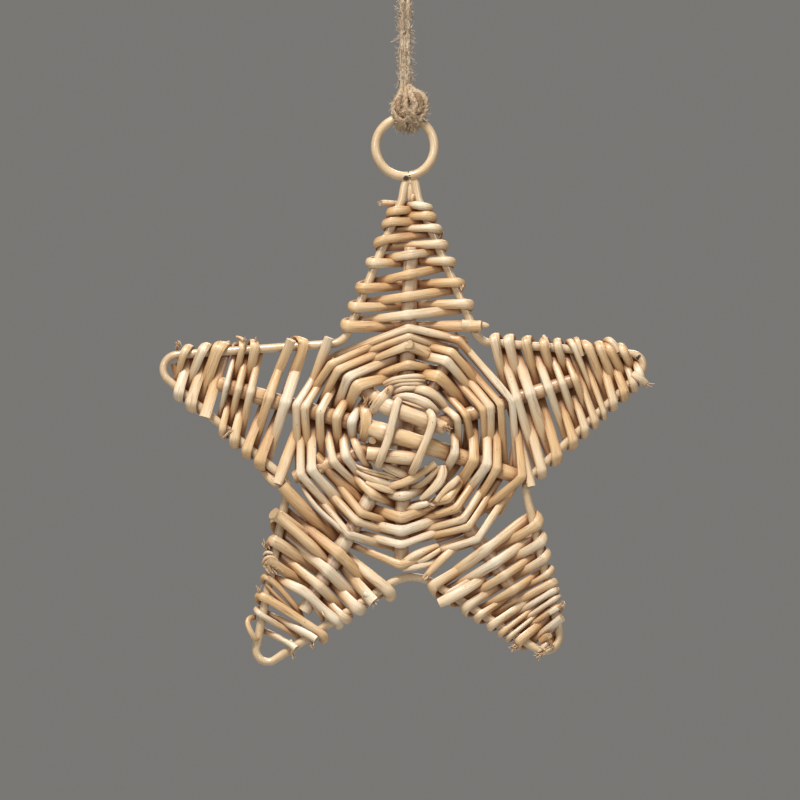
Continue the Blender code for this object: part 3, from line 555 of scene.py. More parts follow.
FRONT = Vector((0.0, -1.0, 0.0))
HUB = Vector((0.0, 0.0, -RING_DROP - HUB_BELOW_RING))
RING_CENTRE = Vector((0.0, 0.0, -RING_DROP))


def from_photo(px, py, depth=0.0):
    """Place in the star's plane of a photograph pixel, pushed back by a depth."""
    return Vector(((px - PHOTO_X) * PIXEL, depth, (PHOTO_Y - py) * PIXEL))


def in_plane(x, z, depth=0.0):
    return HUB + Vector((x, depth, z))


def polar(angle, distance):
    turn = math.radians(angle)
    return in_plane(distance * math.cos(turn), distance * math.sin(turn))


def hub_distance(point):
    return math.hypot(point.x - HUB.x, point.z - HUB.z)


def smooth_step(share):
    share = min(1.0, max(0.0, share))
    return share * share * (3.0 - 2.0 * share)


# Camera, floor and light

def make_camera():
    data = bpy.data.cameras.new("camera")
    data.sensor_width = SENSOR
    data.lens = SENSOR * CAMERA_DISTANCE / (PICTURE_SIDE * PIXEL)
    data.clip_end = 20.0
    camera = bpy.data.objects.new("camera", data)
    bpy.context.collection.objects.link(camera)
    camera.location = from_photo(PICTURE_MIDDLE, PICTURE_MIDDLE, -CAMERA_DISTANCE)
    camera.rotation_euler = (math.pi / 2.0, 0.0, 0.0)
    bpy.context.scene.camera = camera
    bpy.context.scene.view_settings.view_transform = "Standard"


def area_light(name, place, target, size, power, colour):
    data = bpy.data.lights.new(name, "AREA")
    data.shape = "DISK"
    data.size = size
    data.energy = power
    data.color = colour
    light = bpy.data.objects.new(name, data)
    bpy.context.collection.objects.link(light)
    light.location = place
    light.rotation_euler = (Vector(target) - Vector(place)).to_track_quat("-Z", "Y").to_euler()


def make_stage():
    """A pale floor well below the hanging ornament, under a pale even sky."""
    floor_radius = 3.0
    floor_drop = 1.3
    steps = 64
    corners = [
        (floor_radius * math.cos(2.0 * math.pi * step / steps),
         floor_radius * math.sin(2.0 * math.pi * step / steps), -floor_drop)
        for step in range(steps)
    ]
    data = bpy.data.meshes.new("floor")
    data.from_pydata(corners, [], [tuple(range(steps))])
    floor = bpy.data.objects.new("floor", data)
    bpy.context.collection.objects.link(floor)
    paint = bpy.data.materials.new("floor_paint")
    paint.use_nodes = True
    shader = paint.node_tree.nodes["Principled BSDF"]
    shader.inputs["Base Color"].default_value = FLOOR_COLOUR
    shader.inputs["Roughness"].default_value = 0.9
    data.materials.append(paint)

    world = bpy.data.worlds.new("soft_room")
    bpy.context.scene.world = world
    world.use_nodes = True
    sky = world.node_tree.nodes["Background"]
    sky.inputs["Color"].default_value = SKY_COLOUR
    sky.inputs["Strength"].default_value = SKY_STRENGTH

    for name, place, size, power, colour in LIGHTS:
        area_light(name, place, LIGHTS_AIM, size, power, colour)


# Materials

def node_tools(name):
    made = bpy.data.materials.new(name)
    made.use_nodes = True
    tree = made.node_tree
    shader = tree.nodes["Principled BSDF"]

    def add(kind, **settings):
        node = tree.nodes.new(kind)
        for key, value in settings.items():
            setattr(node, key, value)
        return node

    def link(source, target):
        tree.links.new(source, target)

    return made, shader, add, link


def ramp(add, stops):
    node = add("ShaderNodeValToRGB")
    bar = node.color_ramp
    while len(bar.elements) < len(stops):
        bar.elements.new(0.5)
    for element, (place, colour) in zip(bar.elements, stops):
        element.position = place
        element.color = (*colour, 1.0)
    return node


def math_node(add, link, operation, first, second=None, clamp=False):
    node = add("ShaderNodeMath", operation=operation, use_clamp=clamp)
    for slot, value in enumerate((first, second)):
        if value is None:
            continue
        if isinstance(value, (int, float)):
            node.inputs[slot].default_value = value
        else:
            link(value, node.inputs[slot])
    return node.outputs[0]


def mix_colour(add, link, share, first, second, blend="MIX"):
    node = add("ShaderNodeMix", data_type="RGBA", blend_type=blend)
    for slot, value in ((0, share), (6, first), (7, second)):
        if isinstance(value, (int, float)):
            node.inputs[slot].default_value = value
        elif isinstance(value, tuple):
            node.inputs[slot].default_value = (*value, 1.0)
        else:
            link(value, node.inputs[slot])
    return node.outputs[2]


def rod_coordinates(add, link, stretch, spread):
    """Noise place on a rod: its length, squeezed, and its way round, with an own offset for each rod."""
    uv = add("ShaderNodeUVMap", uv_map="rod")
    split = add("ShaderNodeSeparateXYZ")
    link(uv.outputs["UV"], split.inputs[0])
    tone = add("ShaderNodeAttribute", attribute_name="tone")
    seed = add("ShaderNodeAttribute", attribute_name="seed")
    turn = math_node(add, link, "MULTIPLY", split.outputs["Y"], 2.0 * math.pi)
    join = add("ShaderNodeCombineXYZ")
    offset = math_node(add, link, "MULTIPLY", seed.outputs["Fac"], 370.0)
    along = math_node(add, link, "MULTIPLY", split.outputs["X"], stretch)
    link(math_node(add, link, "ADD", along, offset), join.inputs[0])
    for slot, operation in ((1, "COSINE"), (2, "SINE")):
        way = math_node(add, link, operation, turn)
        link(math_node(add, link, "MULTIPLY", way, spread), join.inputs[slot])
    return join.outputs[0], tone.outputs["Fac"], split


def willow_material():
    """Peeled willow: tone that changes from rod to rod, long grain, brown specks and a satin skin, with painted
    shade in the crevices between rods and painted light on the weave's outer layers.
    """
    made, shader, add, link = node_tools("peeled_willow")
    grain_place, tone, _ = rod_coordinates(add, link, 90.0, 2.6)
    fine_place, _, _ = rod_coordinates(add, link, 160.0, 7.0)
    speck_place, _, _ = rod_coordinates(add, link, 420.0, 1.6)

    grain = add("ShaderNodeTexNoise")
    grain.inputs["Scale"].default_value = 1.0
    grain.inputs["Detail"].default_value = 5.0
    grain.inputs["Roughness"].default_value = 0.6
    link(grain_place, grain.inputs["Vector"])
    fine = add("ShaderNodeTexNoise")
    fine.inputs["Scale"].default_value = 1.0
    fine.inputs["Detail"].default_value = 3.0
    link(fine_place, fine.inputs["Vector"])

    wide = add("ShaderNodeTexNoise")
    wide.inputs["Scale"].default_value = 26.0
    wide.inputs["Detail"].default_value = 2.0
    place = add("ShaderNodeTexCoord")
    link(place.outputs["Object"], wide.inputs["Vector"])
    parts = add("ShaderNodeSeparateXYZ")
    link(place.outputs["Object"], parts.inputs[0])
    # Painted light and shade: surfaces off the star's middle plane get a paler colour, the inner layers stay
    # darker
    from_middle = math_node(add, link, "ABSOLUTE", parts.outputs["Y"])
    outer_painted_light = math_node(add, link, "MULTIPLY", from_middle, 1.0 / PAINTED_LIGHT_FROM, clamp=True)

    level = math_node(add, link, "MULTIPLY", grain.outputs["Fac"], 0.62)
    level = math_node(add, link, "ADD", level, math_node(add, link, "MULTIPLY", fine.outputs["Fac"], 0.30))
    level = math_node(add, link, "ADD", level, math_node(add, link, "MULTIPLY", wide.outputs["Fac"], 0.35))
    level = math_node(add, link, "ADD", level, math_node(add, link, "MULTIPLY", tone, 0.34))
    # painted light: the outer layers are made paler
    level = math_node(add, link, "SUBTRACT", level, math_node(add, link, "MULTIPLY", outer_painted_light, 0.20))
    level = math_node(add, link, "SUBTRACT", level, 0.22, clamp=True)
    body = ramp(add, [(0.16, WILLOW_PALE), (0.52, WILLOW_WARM), (0.92, WILLOW_DEEP)])
    link(level, body.inputs["Fac"])

    spots = add("ShaderNodeTexVoronoi")
    spots.inputs["Scale"].default_value = 1.0
    link(speck_place, spots.inputs["Vector"])
    near = math_node(add, link, "LESS_THAN", spots.outputs["Distance"], 0.16)
    picked = math_node(add, link, "GREATER_THAN", spots.outputs["Color"], 1.0 - SPECK_SHARE)
    speck = math_node(add, link, "MULTIPLY", near, picked)
    speck = math_node(add, link, "MULTIPLY", speck, 0.65)
    colour = mix_colour(add, link, speck, body.outputs["Color"], (0.16, 0.075, 0.03))

    stain_place, _, _ = rod_coordinates(add, link, 70.0, 1.1)
    blotch = add("ShaderNodeTexNoise")
    blotch.inputs["Scale"].default_value = 1.0
    blotch.inputs["Detail"].default_value = 2.0
    link(stain_place, blotch.inputs["Vector"])
    stain = math_node(add, link, "SUBTRACT", blotch.outputs["Fac"], 0.57)
    stain = math_node(add, link, "MULTIPLY", stain, 9.0, clamp=True)
    streak = math_node(add, link, "SUBTRACT", fine.outputs["Fac"], 0.44)
    streak = math_node(add, link, "MULTIPLY", streak, 7.0, clamp=True)
    stain = math_node(add, link, "MULTIPLY", math_node(add, link, "MULTIPLY", stain, streak),
                      STAIN_STRENGTH)
    colour = mix_colour(add, link, stain, colour, (0.36, 0.16, 0.055))

    # Painted shade: the colour is darkened towards brown in the crevices and between the rods, where shade
    # falls
    painted_shade_ao = add("ShaderNodeAmbientOcclusion", samples=8)
    painted_shade_ao.inputs["Distance"].default_value = 0.0045
    shade = math_node(add, link, "SUBTRACT", 1.0, painted_shade_ao.outputs["AO"], clamp=True)
    shade = math_node(add, link, "MULTIPLY", shade, 1.25, clamp=True)
    colour = mix_colour(add, link, shade, colour, (0.40, 0.18, 0.065), blend="MULTIPLY")

    cut = add("ShaderNodeAttribute", attribute_name="cut")
    colour = mix_colour(add, link, cut.outputs["Fac"], colour, (0.50, 0.34, 0.18))
    link(colour, shader.inputs["Base Color"])

    rough = math_node(add, link, "MULTIPLY", fine.outputs["Fac"], 0.26)
    link(math_node(add, link, "ADD", rough, 0.27), shader.inputs["Roughness"])
    shader.inputs["Specular IOR Level"].default_value = 0.5
    shader.inputs["Coat Weight"].default_value = 0.45
    shader.inputs["Coat Roughness"].default_value = 0.26
    bump = add("ShaderNodeBump")
    bump.inputs["Strength"].default_value = 0.5
    bump.inputs["Distance"].default_value = 0.0004
    height = math_node(add, link, "ADD", grain.outputs["Fac"], fine.outputs["Fac"])
    height = math_node(add, link, "SUBTRACT", height, speck)
    link(height, bump.inputs["Height"])
    link(bump.outputs["Normal"], shader.inputs["Normal"])
    return made


def wire_material(chips):
    """Satin beige coating with faint mottling and a few dark chips."""
    made, shader, add, link = node_tools("coated_wire")
    place = add("ShaderNodeTexCoord")
    broad = add("ShaderNodeTexNoise")
    broad.inputs["Scale"].default_value = 120.0
    broad.inputs["Detail"].default_value = 4.0
    link(place.outputs["Object"], broad.inputs["Vector"])
    fine = add("ShaderNodeTexNoise")
    fine.inputs["Scale"].default_value = 900.0
    fine.inputs["Detail"].default_value = 2.0
    link(place.outputs["Object"], fine.inputs["Vector"])
    level = math_node(add, link, "MULTIPLY", broad.outputs["Fac"], 0.7)
    level = math_node(add, link, "ADD", level, math_node(add, link, "MULTIPLY", fine.outputs["Fac"], 0.3))
    body = ramp(add, [(0.30, (0.55, 0.385, 0.215)), (0.52, (0.67, 0.49, 0.295)), (0.72, (0.76, 0.59, 0.385))])
    link(level, body.inputs["Fac"])
    colour = body.outputs["Color"]
    for px, py, radius in chips:
        spot = add("ShaderNodeVectorMath", operation="DISTANCE")
        link(place.outputs["Object"], spot.inputs[0])
        spot.inputs[1].default_value = from_photo(px, py, -STAR_WIRE / 2.0)
        ragged = math_node(add, link, "MULTIPLY", broad.outputs["Fac"], radius * 1.6)
        reach = math_node(add, link, "SUBTRACT", spot.outputs["Value"], ragged)
        inside = math_node(add, link, "LESS_THAN", reach, radius * 0.2)
        colour = mix_colour(add, link, inside, colour, (0.055, 0.035, 0.025))
    link(colour, shader.inputs["Base Color"])
    rough = math_node(add, link, "MULTIPLY", broad.outputs["Fac"], 0.16)
    link(math_node(add, link, "ADD", rough, 0.26), shader.inputs["Roughness"])
    shader.inputs["Specular IOR Level"].default_value = 0.5
    shader.inputs["Coat Weight"].default_value = 0.7
    shader.inputs["Coat Roughness"].default_value = 0.18
    bump = add("ShaderNodeBump")
    bump.inputs["Strength"].default_value = 0.25
    bump.inputs["Distance"].default_value = 0.0003
    link(level, bump.inputs["Height"])
    link(bump.outputs["Normal"], shader.inputs["Normal"])
    return made


def jute_material():
    """Dull brown fibre with pale and dark hairs running along the twist."""
    made, shader, add, link = node_tools("jute_twine")
    place, tone, _ = rod_coordinates(add, link, 900.0, 5.0)
    hairs = add("ShaderNodeTexNoise")
    hairs.inputs["Scale"].default_value = 1.0
    hairs.inputs["Detail"].default_value = 6.0
    hairs.inputs["Roughness"].default_value = 0.75
    link(place, hairs.inputs["Vector"])
    level = math_node(add, link, "MULTIPLY", tone, 0.35)
    level = math_node(add, link, "ADD", level, hairs.outputs["Fac"])
    level = math_node(add, link, "SUBTRACT", level, 0.15)
    body = ramp(add, [(0.40, (0.78, 0.66, 0.50)), (0.54, (0.52, 0.38, 0.24)), (0.72, (0.22, 0.13, 0.07))])
    link(level, body.inputs["Fac"])
    link(body.outputs["Color"], shader.inputs["Base Color"])
    shader.inputs["Roughness"].default_value = 0.85
    shader.inputs["Specular IOR Level"].default_value = 0.2
    bump = add("ShaderNodeBump")
    bump.inputs["Strength"].default_value = 0.7
    bump.inputs["Distance"].default_value = 0.0005
    link(hairs.outputs["Fac"], bump.inputs["Height"])
    link(bump.outputs["Normal"], shader.inputs["Normal"])
    return made


# Rod meshes

def rounded(points, passes=3):
    """Points with their corners cut, again and again, so that a smooth line is left."""
    line = np.array([tuple(point) for point in points], float)
    for _ in range(passes):
        quarter = line[:-1] * 0.75 + line[1:] * 0.25
        three_quarters = line[:-1] * 0.25 + line[1:] * 0.75
        middle = np.empty((2 * len(quarter), line.shape[1]))
        middle[0::2] = quarter
        middle[1::2] = three_quarters
        line = np.vstack([line[:1], middle, line[-1:]])
    return line


def arc_lengths(line):
    steps = np.linalg.norm(np.diff(line[:, :3], axis=0), axis=1)
    return np.concatenate([[0.0], np.cumsum(steps)])


def resampled(line, spacing):
    lengths = arc_lengths(line)
    count = max(4, int(round(lengths[-1] / spacing)) + 1)
    wanted = np.linspace(0.0, lengths[-1], count)
    return np.stack([np.interp(wanted, lengths, column) for column in line.T], axis=1)


def unit(rows):
    return rows / np.maximum(np.linalg.norm(rows, axis=1, keepdims=True), 1e-12)


def wander(lengths, scale, generator):
    """A soft random value along a rod, about zero, that changes over a length scale."""
    knots = max(3, int(lengths[-1] / scale) + 3)
    values = generator.normal(0.0, 1.0, knots)
    at = np.linspace(0.0, lengths[-1], knots)
    fine = np.interp(lengths, at, values)
    kernel = np.ones(5) / 5.0
    padded = np.concatenate([np.full(2, fine[0]), fine, np.full(2, fine[-1])])
    return np.convolve(padded, kernel, mode="valid")


class Bundle:
    """Rods that are gathered into one mesh."""

    def __init__(self, name):
        self.name = name
        self.points = []
        self.faces = []
        self.uvs = []
        self.tone = []
        self.cut = []
        self.seed = []

    def add_face(self, corners, uvs, tone, cut, seed):
        self.faces.append(corners)
        self.uvs.extend(uvs)
        self.tone.append(tone)
        self.cut.append(cut)
        self.seed.append(seed)

    def add_rod(self, line, guide, width, thickness, tone, sides=12, flats=0.05,
                taper=(1.0, 1.0), caps=(1.0, 1.0), unevenness=0.045, lobes=0, twist=0.0):
        """Sweeps an uneven oval along a line. guide holds the direction of the width."""
        along = unit(np.gradient(line, axis=0))
        width = np.broadcast_to(width, len(line))
        tone = np.broadcast_to(tone, len(line))
        seed = float(rng.uniform(0.0, 1.0))
        side = guide - along * np.sum(guide * along, axis=1, keepdims=True)
        side = unit(side)
        lift = np.cross(along, side)
        lengths = arc_lengths(line)
        count = len(line)
        bend = np.zeros(count)
        turning = np.linalg.norm(np.diff(along, axis=0), axis=1)
        bend[1:] = turning / np.maximum(np.diff(lengths), 1e-9)
        bend = np.convolve(np.pad(bend, 2, mode="edge"), np.ones(5) / 5.0, mode="valid")
        crush = np.clip(bend * width * 0.30, 0.0, 0.10)
        grow = 1.0 + unevenness * wander(lengths, 0.012, rng)
        ends = np.ones(count)
        reach = float(width.mean()) * 0.9
        for end, keep in enumerate(taper):
            if keep < 1.0:
                from_end = lengths if end == 0 else lengths[-1] - lengths
                share = np.clip(from_end / (reach * 3.0), 0.0, 1.0)
                ends *= keep + (1.0 - keep) * np.sqrt(share)
        phase = rng.uniform(0.0, 2.0 * math.pi, 3)
        turn = np.linspace(0.0, 2.0 * math.pi, sides, endpoint=False)
        first = len(self.points)
        shape = 1.0 + flats * np.cos(3.0 * turn + phase[0]) + 0.6 * flats * np.cos(5.0 * turn + phase[1])
        for index in range(count):
            if lobes:
                rolled = turn - twist * lengths[index] + phase[2]
                shape = 0.84 + 0.16 * np.abs(np.cos(lobes * rolled / 2.0)) * 1.25
            half_width = width[index] / 2.0 * grow[index] * ends[index] * (1.0 + crush[index])
            half_thickness = thickness / 2.0 * grow[index] * ends[index] * (1.0 - 0.8 * crush[index])
            ring = (line[index] + np.outer(np.cos(turn) * shape * half_width, side[index])
                    + np.outer(np.sin(turn) * shape * half_thickness, lift[index]))
            self.points.extend(ring.tolist())
        for index in range(count - 1):
            low = first + index * sides
            for corner in range(sides):
                other = (corner + 1) % sides
                uvs = [(lengths[index], corner / sides), (lengths[index], (corner + 1) / sides),
                       (lengths[index + 1], (corner + 1) / sides), (lengths[index + 1], corner / sides)]
                self.add_face((low + corner, low + other, low + sides + other, low + sides + corner),
                              uvs, float(tone[index]), 0.0, seed)
        start_cap = tuple(first + corner for corner in reversed(range(sides)))
        end_cap = tuple(first + (count - 1) * sides + corner for corner in range(sides))
        for cap, amount, place in ((start_cap, caps[0], 0.0), (end_cap, caps[1], lengths[-1])):
            uvs = [(place + 0.3 * amount, corner / sides) for corner in range(sides)]
            self.add_face(cap, uvs, float(tone.mean()), amount, seed)

    def build(self, look):
        data = bpy.data.meshes.new(self.name)
        data.from_pydata(self.points, [], self.faces)
        layer = data.uv_layers.new(name="rod")
        layer.data.foreach_set("uv", np.array(self.uvs, np.float32).ravel())
        for name, values in (("tone", self.tone), ("cut", self.cut), ("seed", self.seed)):
            attribute = data.attributes.new(name, "FLOAT", "FACE")
            attribute.data.foreach_set("value", np.array(values, np.float32))
        data.materials.append(look)
        data.shade_smooth()
        data.set_sharp_from_angle(angle=math.radians(48.0))
        data.validate()
        made = bpy.data.objects.new(self.name, data)
        bpy.context.collection.objects.link(made)
        return made


def constant(direction, count):
    return np.tile(np.array(tuple(direction), float), (count, 1))


def flat_guide(line):
    """Width directions that lie in the star's plane."""
    along = unit(np.gradient(line, axis=0))
    return unit(np.cross(along, constant(FRONT, len(line))) + 1e-6)


def put_on(piece, slot, *nodes):
    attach(piece, "root")
    if nodes:
        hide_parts(*nodes)
    return piece


# The star's outline, as in the frame

def ring_underside(x):
    outer = RING_RADIUS + RING_WIRE / 2.0
    return RING_CENTRE.z - math.sqrt(outer * outer - x * x)


def leg_top(direction):
    x = LEGS_OFFSET + direction * (STAR_WIRE + GAP) / 2.0
    nearest = max(0.0, abs(x) - STAR_WIRE / 2.0)
    return Vector((x, 0.0, ring_underside(nearest) - GAP))


def leg_bend(direction):
    x = LEGS_OFFSET + direction * ((STAR_WIRE + GAP) / 2.0 + LEG_SPREAD_AT_BEND)
    return Vector((x, 0.0, ring_underside(0.0) - LEG_BEND_BELOW_RING))


def bends():
    """For each corner of the wire: where its bend starts and ends, and the points of its arc."""
    corners = [("left leg", leg_bend(-1), LEG_BEND_RADIUS)]
    tip_names = list(TIPS)
    for index, valley in enumerate(VALLEYS):
        angle, distance, radius = VALLEYS[valley]
        corners.append(("valley " + valley, polar(angle, distance), radius))
        if index < len(tip_names):
            angle, distance, radius = TIPS[tip_names[index]]
            corners.append(("tip " + tip_names[index], polar(angle, distance), radius))
    corners.append(("right leg", leg_bend(1), LEG_BEND_RADIUS))
    places = [leg_top(-1)] + [place for _, place, _ in corners] + [leg_top(1)]
    found = {}
    for index, (name, corner, radius) in enumerate(corners):
        back = (places[index] - corner).normalized()
        ahead = (places[index + 2] - corner).normalized()
        half = back.angle(ahead) / 2.0
        reach = radius / math.tan(half)
        middle = corner + (back + ahead).normalized() * (radius / math.sin(half))
        start = corner + back * reach
        end = corner + ahead * reach
        steps = max(3, round((math.pi - 2.0 * half) / math.radians(6.0)))
        arc = []
        for step in range(steps + 1):
            outwards = (start - middle).normalized().slerp((end - middle).normalized(), step / steps)
            arc.append(middle + outwards * radius)
        found[name] = (start, end, arc)
    return found


BENDS = bends()


def make_star_frame(look):
    points = [leg_top(-1)]
    for _, _, arc in BENDS.values():
        points.extend(arc)
    points.append(leg_top(1))
    line = resampled(np.array([tuple(point) for point in points]), 0.0011)
    wire = Bundle("star_wire")
    for width, thickness, points in WELD_BEADS:
        bead = loose_line(points)
        wire.add_rod(bead, flat_guide(bead), width, thickness, 0.5, sides=20, flats=0.05,
                     taper=(0.6, 0.6), caps=(0.0, 0.0))
    wire.add_rod(line, constant(FRONT, len(line)), STAR_WIRE, STAR_WIRE, 0.5,
                 sides=20, flats=0.004, unevenness=0.008, caps=(0.0, 0.0))
    return put_on(wire.build(look), "coated_wire", "star_frame")


def make_ring(look):
    seam = -math.pi / 2.0 + RING_SEAM_TURN
    first = seam + RING_SPLIT / (2.0 * RING_RADIUS)
    sweep = 2.0 * math.pi - RING_SPLIT / RING_RADIUS
    steps = 110
    line = []
    for step in range(steps + 1):
        turn = first + sweep * step / steps
        line.append(tuple(RING_CENTRE + Vector((math.cos(turn), 0.0, math.sin(turn))) * RING_RADIUS))
    ring = Bundle("ring_wire")
    ring.add_rod(np.array(line), constant(FRONT, len(line)), RING_WIRE, RING_WIRE, 0.5,
                 sides=22, flats=0.004, unevenness=0.008, caps=(0.0, 0.0))
    solder = resampled(np.array([line[-3], line[-1], line[0], line[2]]), 0.0002)
    ring.add_rod(solder, constant(FRONT, len(solder)), SOLDER_WIRE, SOLDER_WIRE, 0.5, sides=22,
                 flats=0.0, caps=(0.0, 0.0))
    return put_on(ring.build(look), "coated_wire", "hanging_ring")


# Spokes

def spoke_depth(name, end, distance):
    _, layer, (flat, level), returns = SPOKES[name]
    if layer == 0:
        return 0.0
    left = 1.0 - smooth_step((distance - flat) / (level - flat)) if returns[end] else 1.0
    return layer * (SPOKE + GAP) * left


def spoke_line(name):
    """The middle line of a spoke at close steps."""
    corners = [in_plane(x, z) for x, z in SPOKES[name][0]]
    line = resampled(np.array([tuple(corner) for corner in corners]), 0.0008)
    share = np.linspace(0.0, 1.0, len(line))
    nearest = int(np.argmin([hub_distance(Vector(point)) for point in line]))
    for index, point in enumerate(line):
        place = Vector(point)
        point[1] = spoke_depth(name, 0 if index < nearest else 1, hub_distance(place))
    sway = 0.00022 * wander(share * 0.1, 0.03, rng)
    line[:, 2] += sway - sway[0]
    return line


def spoke_at(name, end, distance):
    """Where a spoke's arm passes a distance from the hub: place, direction, depth, slope, reach."""
    corners = [in_plane(x, z) for x, z in SPOKES[name][0]]
    if end == 0:
        corners.reverse()
    inner, outer = corners[-2], corners[-1]
    if hub_distance(inner) > distance and len(corners) > 2:
        inner, outer = corners[-3], corners[-2]
    span = outer - inner
    from_hub = inner - HUB
    half_b = from_hub.dot(span)
    rest = from_hub.length_squared - distance * distance
    share = (-half_b + math.sqrt(half_b * half_b - span.length_squared * rest)) / span.length_squared
    nudge = 0.0001
    rise = spoke_depth(name, end, distance + nudge) - spoke_depth(name, end, distance - nudge)
    place = inner + span * share
    depth = spoke_depth(name, end, distance)
    return place, span.normalized(), depth, rise / (2.0 * nudge), hub_distance(corners[-1])


def make_spokes(look):
    for name in SPOKES:
        line = spoke_line(name)
        stick = Bundle(name.replace("spoke", "stick"))
        stick.add_rod(line, flat_guide(line), SPOKE_WIDTHS[name], SPOKE,
                      SPOKE_TONES[name], sides=20, flats=0.012,
                      taper=(0.86, 0.86), unevenness=0.02)
        put_on(stick.build(look), "peeled_willow", name)


# Weaving: a rod is drawn tight round the wires and spokes that it passes

def tight_angle(run, rise, from_offset, to_offset):
    reach = (to_offset - from_offset) / math.hypot(run, rise)
    return math.atan2(rise, run) + math.asin(max(-0.95, min(0.95, reach)))


def tight_corners(offset, angle_in, angle_out, count):
    step = (angle_out - angle_in) / count
    reach = offset / math.cos(step / 2.0)
    corners = []
    for index in range(count):
        angle = angle_in + (index + 0.5) * step
        corners.append((-math.sin(angle) * reach, math.cos(angle) * reach))
    return corners


def free_end(place, offset, angle, overhang):
    along = place - math.sin(angle) * offset + math.cos(angle) * overhang
    depth = math.cos(angle) * offset + math.sin(angle) * overhang
    return along, depth


def clearance(bar, across, bar_direction, thickness):
    return (bar / 2.0 + ROD_CLEARANCE + thickness / 2.0) / across.cross(bar_direction).length


def arm_lines(arm):
    """The two straight wires of an arm, each from its tip end to its valley end."""
    names = {
        "top": ("left leg", "right leg", "upper_left", "upper_right"),
        "left": ("tip left", "tip left", "upper_left", "lower_left"),
        "lower_left": ("tip lower_left", "tip lower_left", "lower_left", "bottom"),
        "lower_right": ("tip lower_right", "tip lower_right", "bottom", "lower_right"),
        "right": ("tip right", "tip right", "lower_right", "upper_right"),
    }
    tip_a, tip_b, valley_a, valley_b = names[arm]
    if arm == "top":
        return ((BENDS[tip_a][1], BENDS["valley " + valley_a][0]),
                (BENDS[tip_b][0], BENDS["valley " + valley_b][1]))
    return ((BENDS[tip_a][0], BENDS["valley " + valley_a][1]),
            (BENDS[tip_b][1], BENDS["valley " + valley_b][0]))


def on_wire(wire, axis, pixel):
    """Place on a straight wire at a photograph pixel, x or y."""
    start, end = wire
    if axis == "x":
        wanted = (pixel - PHOTO_X) * PIXEL
        share = (wanted - start.x) / (end.x - start.x)
    else:
        wanted = (PHOTO_Y - pixel) * PIXEL
        share = (wanted - start.z) / (end.z - start.z)
    return start + (end - start) * share


def crossing(start, end, rib_start, rib_end):
    a = end - start
    b = rib_end - rib_start
    c = rib_start - start
    return (c.x * b.z - c.z * b.x) / (a.x * b.z - a.z * b.x)


def rib_line(arm):
    """The arm's spoke as a line, from the end in the arm towards the middle."""
    route = [in_plane(x, z) for x, z in SPOKES[ARMS[arm]["spoke"]][0]]
    wire = arm_lines(arm)[0]
    route.sort(key=lambda place: (place - wire[0]).length)
    return route[0], route[1]


def winding_points(arm, winding):
    """Points of one rod wound to and fro in an arm."""
    wires = arm_lines(arm)
    directions = [(end - start).normalized() for start, end in wires]
    rib_outer, rib_inner = rib_line(arm)
    axis = (rib_inner - rib_outer).normalized()
    side = winding["side"]
    at = winding["starts_at"]
    runs = []
    for index, row in enumerate(winding["rows"]):
        order = (at, 1 - at)
        ends = [on_wire(wires[wire], ARMS[arm]["axes"][wire], row[wire]) for wire in order]
        across = (ends[1] - ends[0]).normalized()
        length = (ends[1] - ends[0]).length
        clear = [clearance(STAR_WIRE, across, directions[wire], ROD_THICKNESS) for wire in order]
        bars = [(0.0, side * clear[0])]
        has_rib = index >= winding["spoke_from"]
        if has_rib:
            share = crossing(ends[0], ends[1], rib_outer, rib_inner)
            bars.append((share * length, -side * clearance(SPOKE, across, axis, ROD_THICKNESS)))
        end_side = side if has_rib else -side
        bars.append((length, end_side * clear[1]))
        angles = [
            tight_angle(after[0] - before[0], 0.0, before[1], after[1])
            for before, after in zip(bars, bars[1:])
        ]
        runs.append((ends, bars, angles, end_side, across, length))
        side = -end_side
        at = 1 - at
    bow = ARMS[arm]["bow"]

    def place(run, along, depth):
        ends, _, _, _, across, length = run
        share = min(1.0, max(0.0, along / length))
        bowed = axis * (bow * 4.0 * share * (1.0 - share))
        return ends[0] + across * along + bowed + Vector((0.0, depth, 0.0))

    points = []

    def put(point, row):
        points.append((*point, row))

    first = runs[0]
    put(place(first, *free_end(*first[1][0], first[2][0], -winding["overhangs"][0])), 0.0)
    put(place(first, *free_end(*first[1][0], first[2][0], 0.0)), 0.0)
    for index, run in enumerate(runs):
        ends, bars, angles, end_side, across, length = run
        if len(bars) == 3:
            for along, depth in tight_corners(bars[1][1], angles[0], angles[1], 2):
                put(place(run, bars[1][0] + along, depth), index)
        if index == len(runs) - 1:
            put(place(run, *free_end(*bars[-1], angles[-1], 0.0)), index)
            put(place(run, *free_end(*bars[-1], angles[-1], winding["overhangs"][1])), index)
            break
        following = runs[index + 1]
        turned = -end_side * math.pi - following[2][0]
        count = 5
        for step, (along, depth) in enumerate(tight_corners(bars[-1][1], angles[-1], turned, count)):
            share = (step + 0.5) / count
            wire_place = ends[1].lerp(following[0][0], share)
            outwards = across.lerp(-following[4], share)
            put(wire_place + outwards * along + Vector((0.0, depth, 0.0)), index + share)
    return points, axis


def make_arm_weaves(look):
    for arm in ARMS:
        weave = Bundle("woven_arm_" + arm)
        for winding in ARMS[arm]["windings"]:
            points, axis = winding_points(arm, winding)
            line = resampled(rounded(points), 0.00055)
            rows = np.arange(len(winding["widths"]))
            widths = np.interp(line[:, 3], rows, winding["widths"]) * PIXEL
            tones = np.interp(line[:, 3], rows, rng.uniform(0.0, 1.0, len(rows)))
            weave.add_rod(line[:, :3], constant(axis, len(line)), widths, ROD_THICKNESS, tones,
                          unevenness=0.06)
        add_loose_rods(weave, ARM_RODS[arm])
        add_frays(weave, ARM_FRAYS[arm])
        put_on(weave.build(look), "peeled_willow", "arm_weave_" + arm)


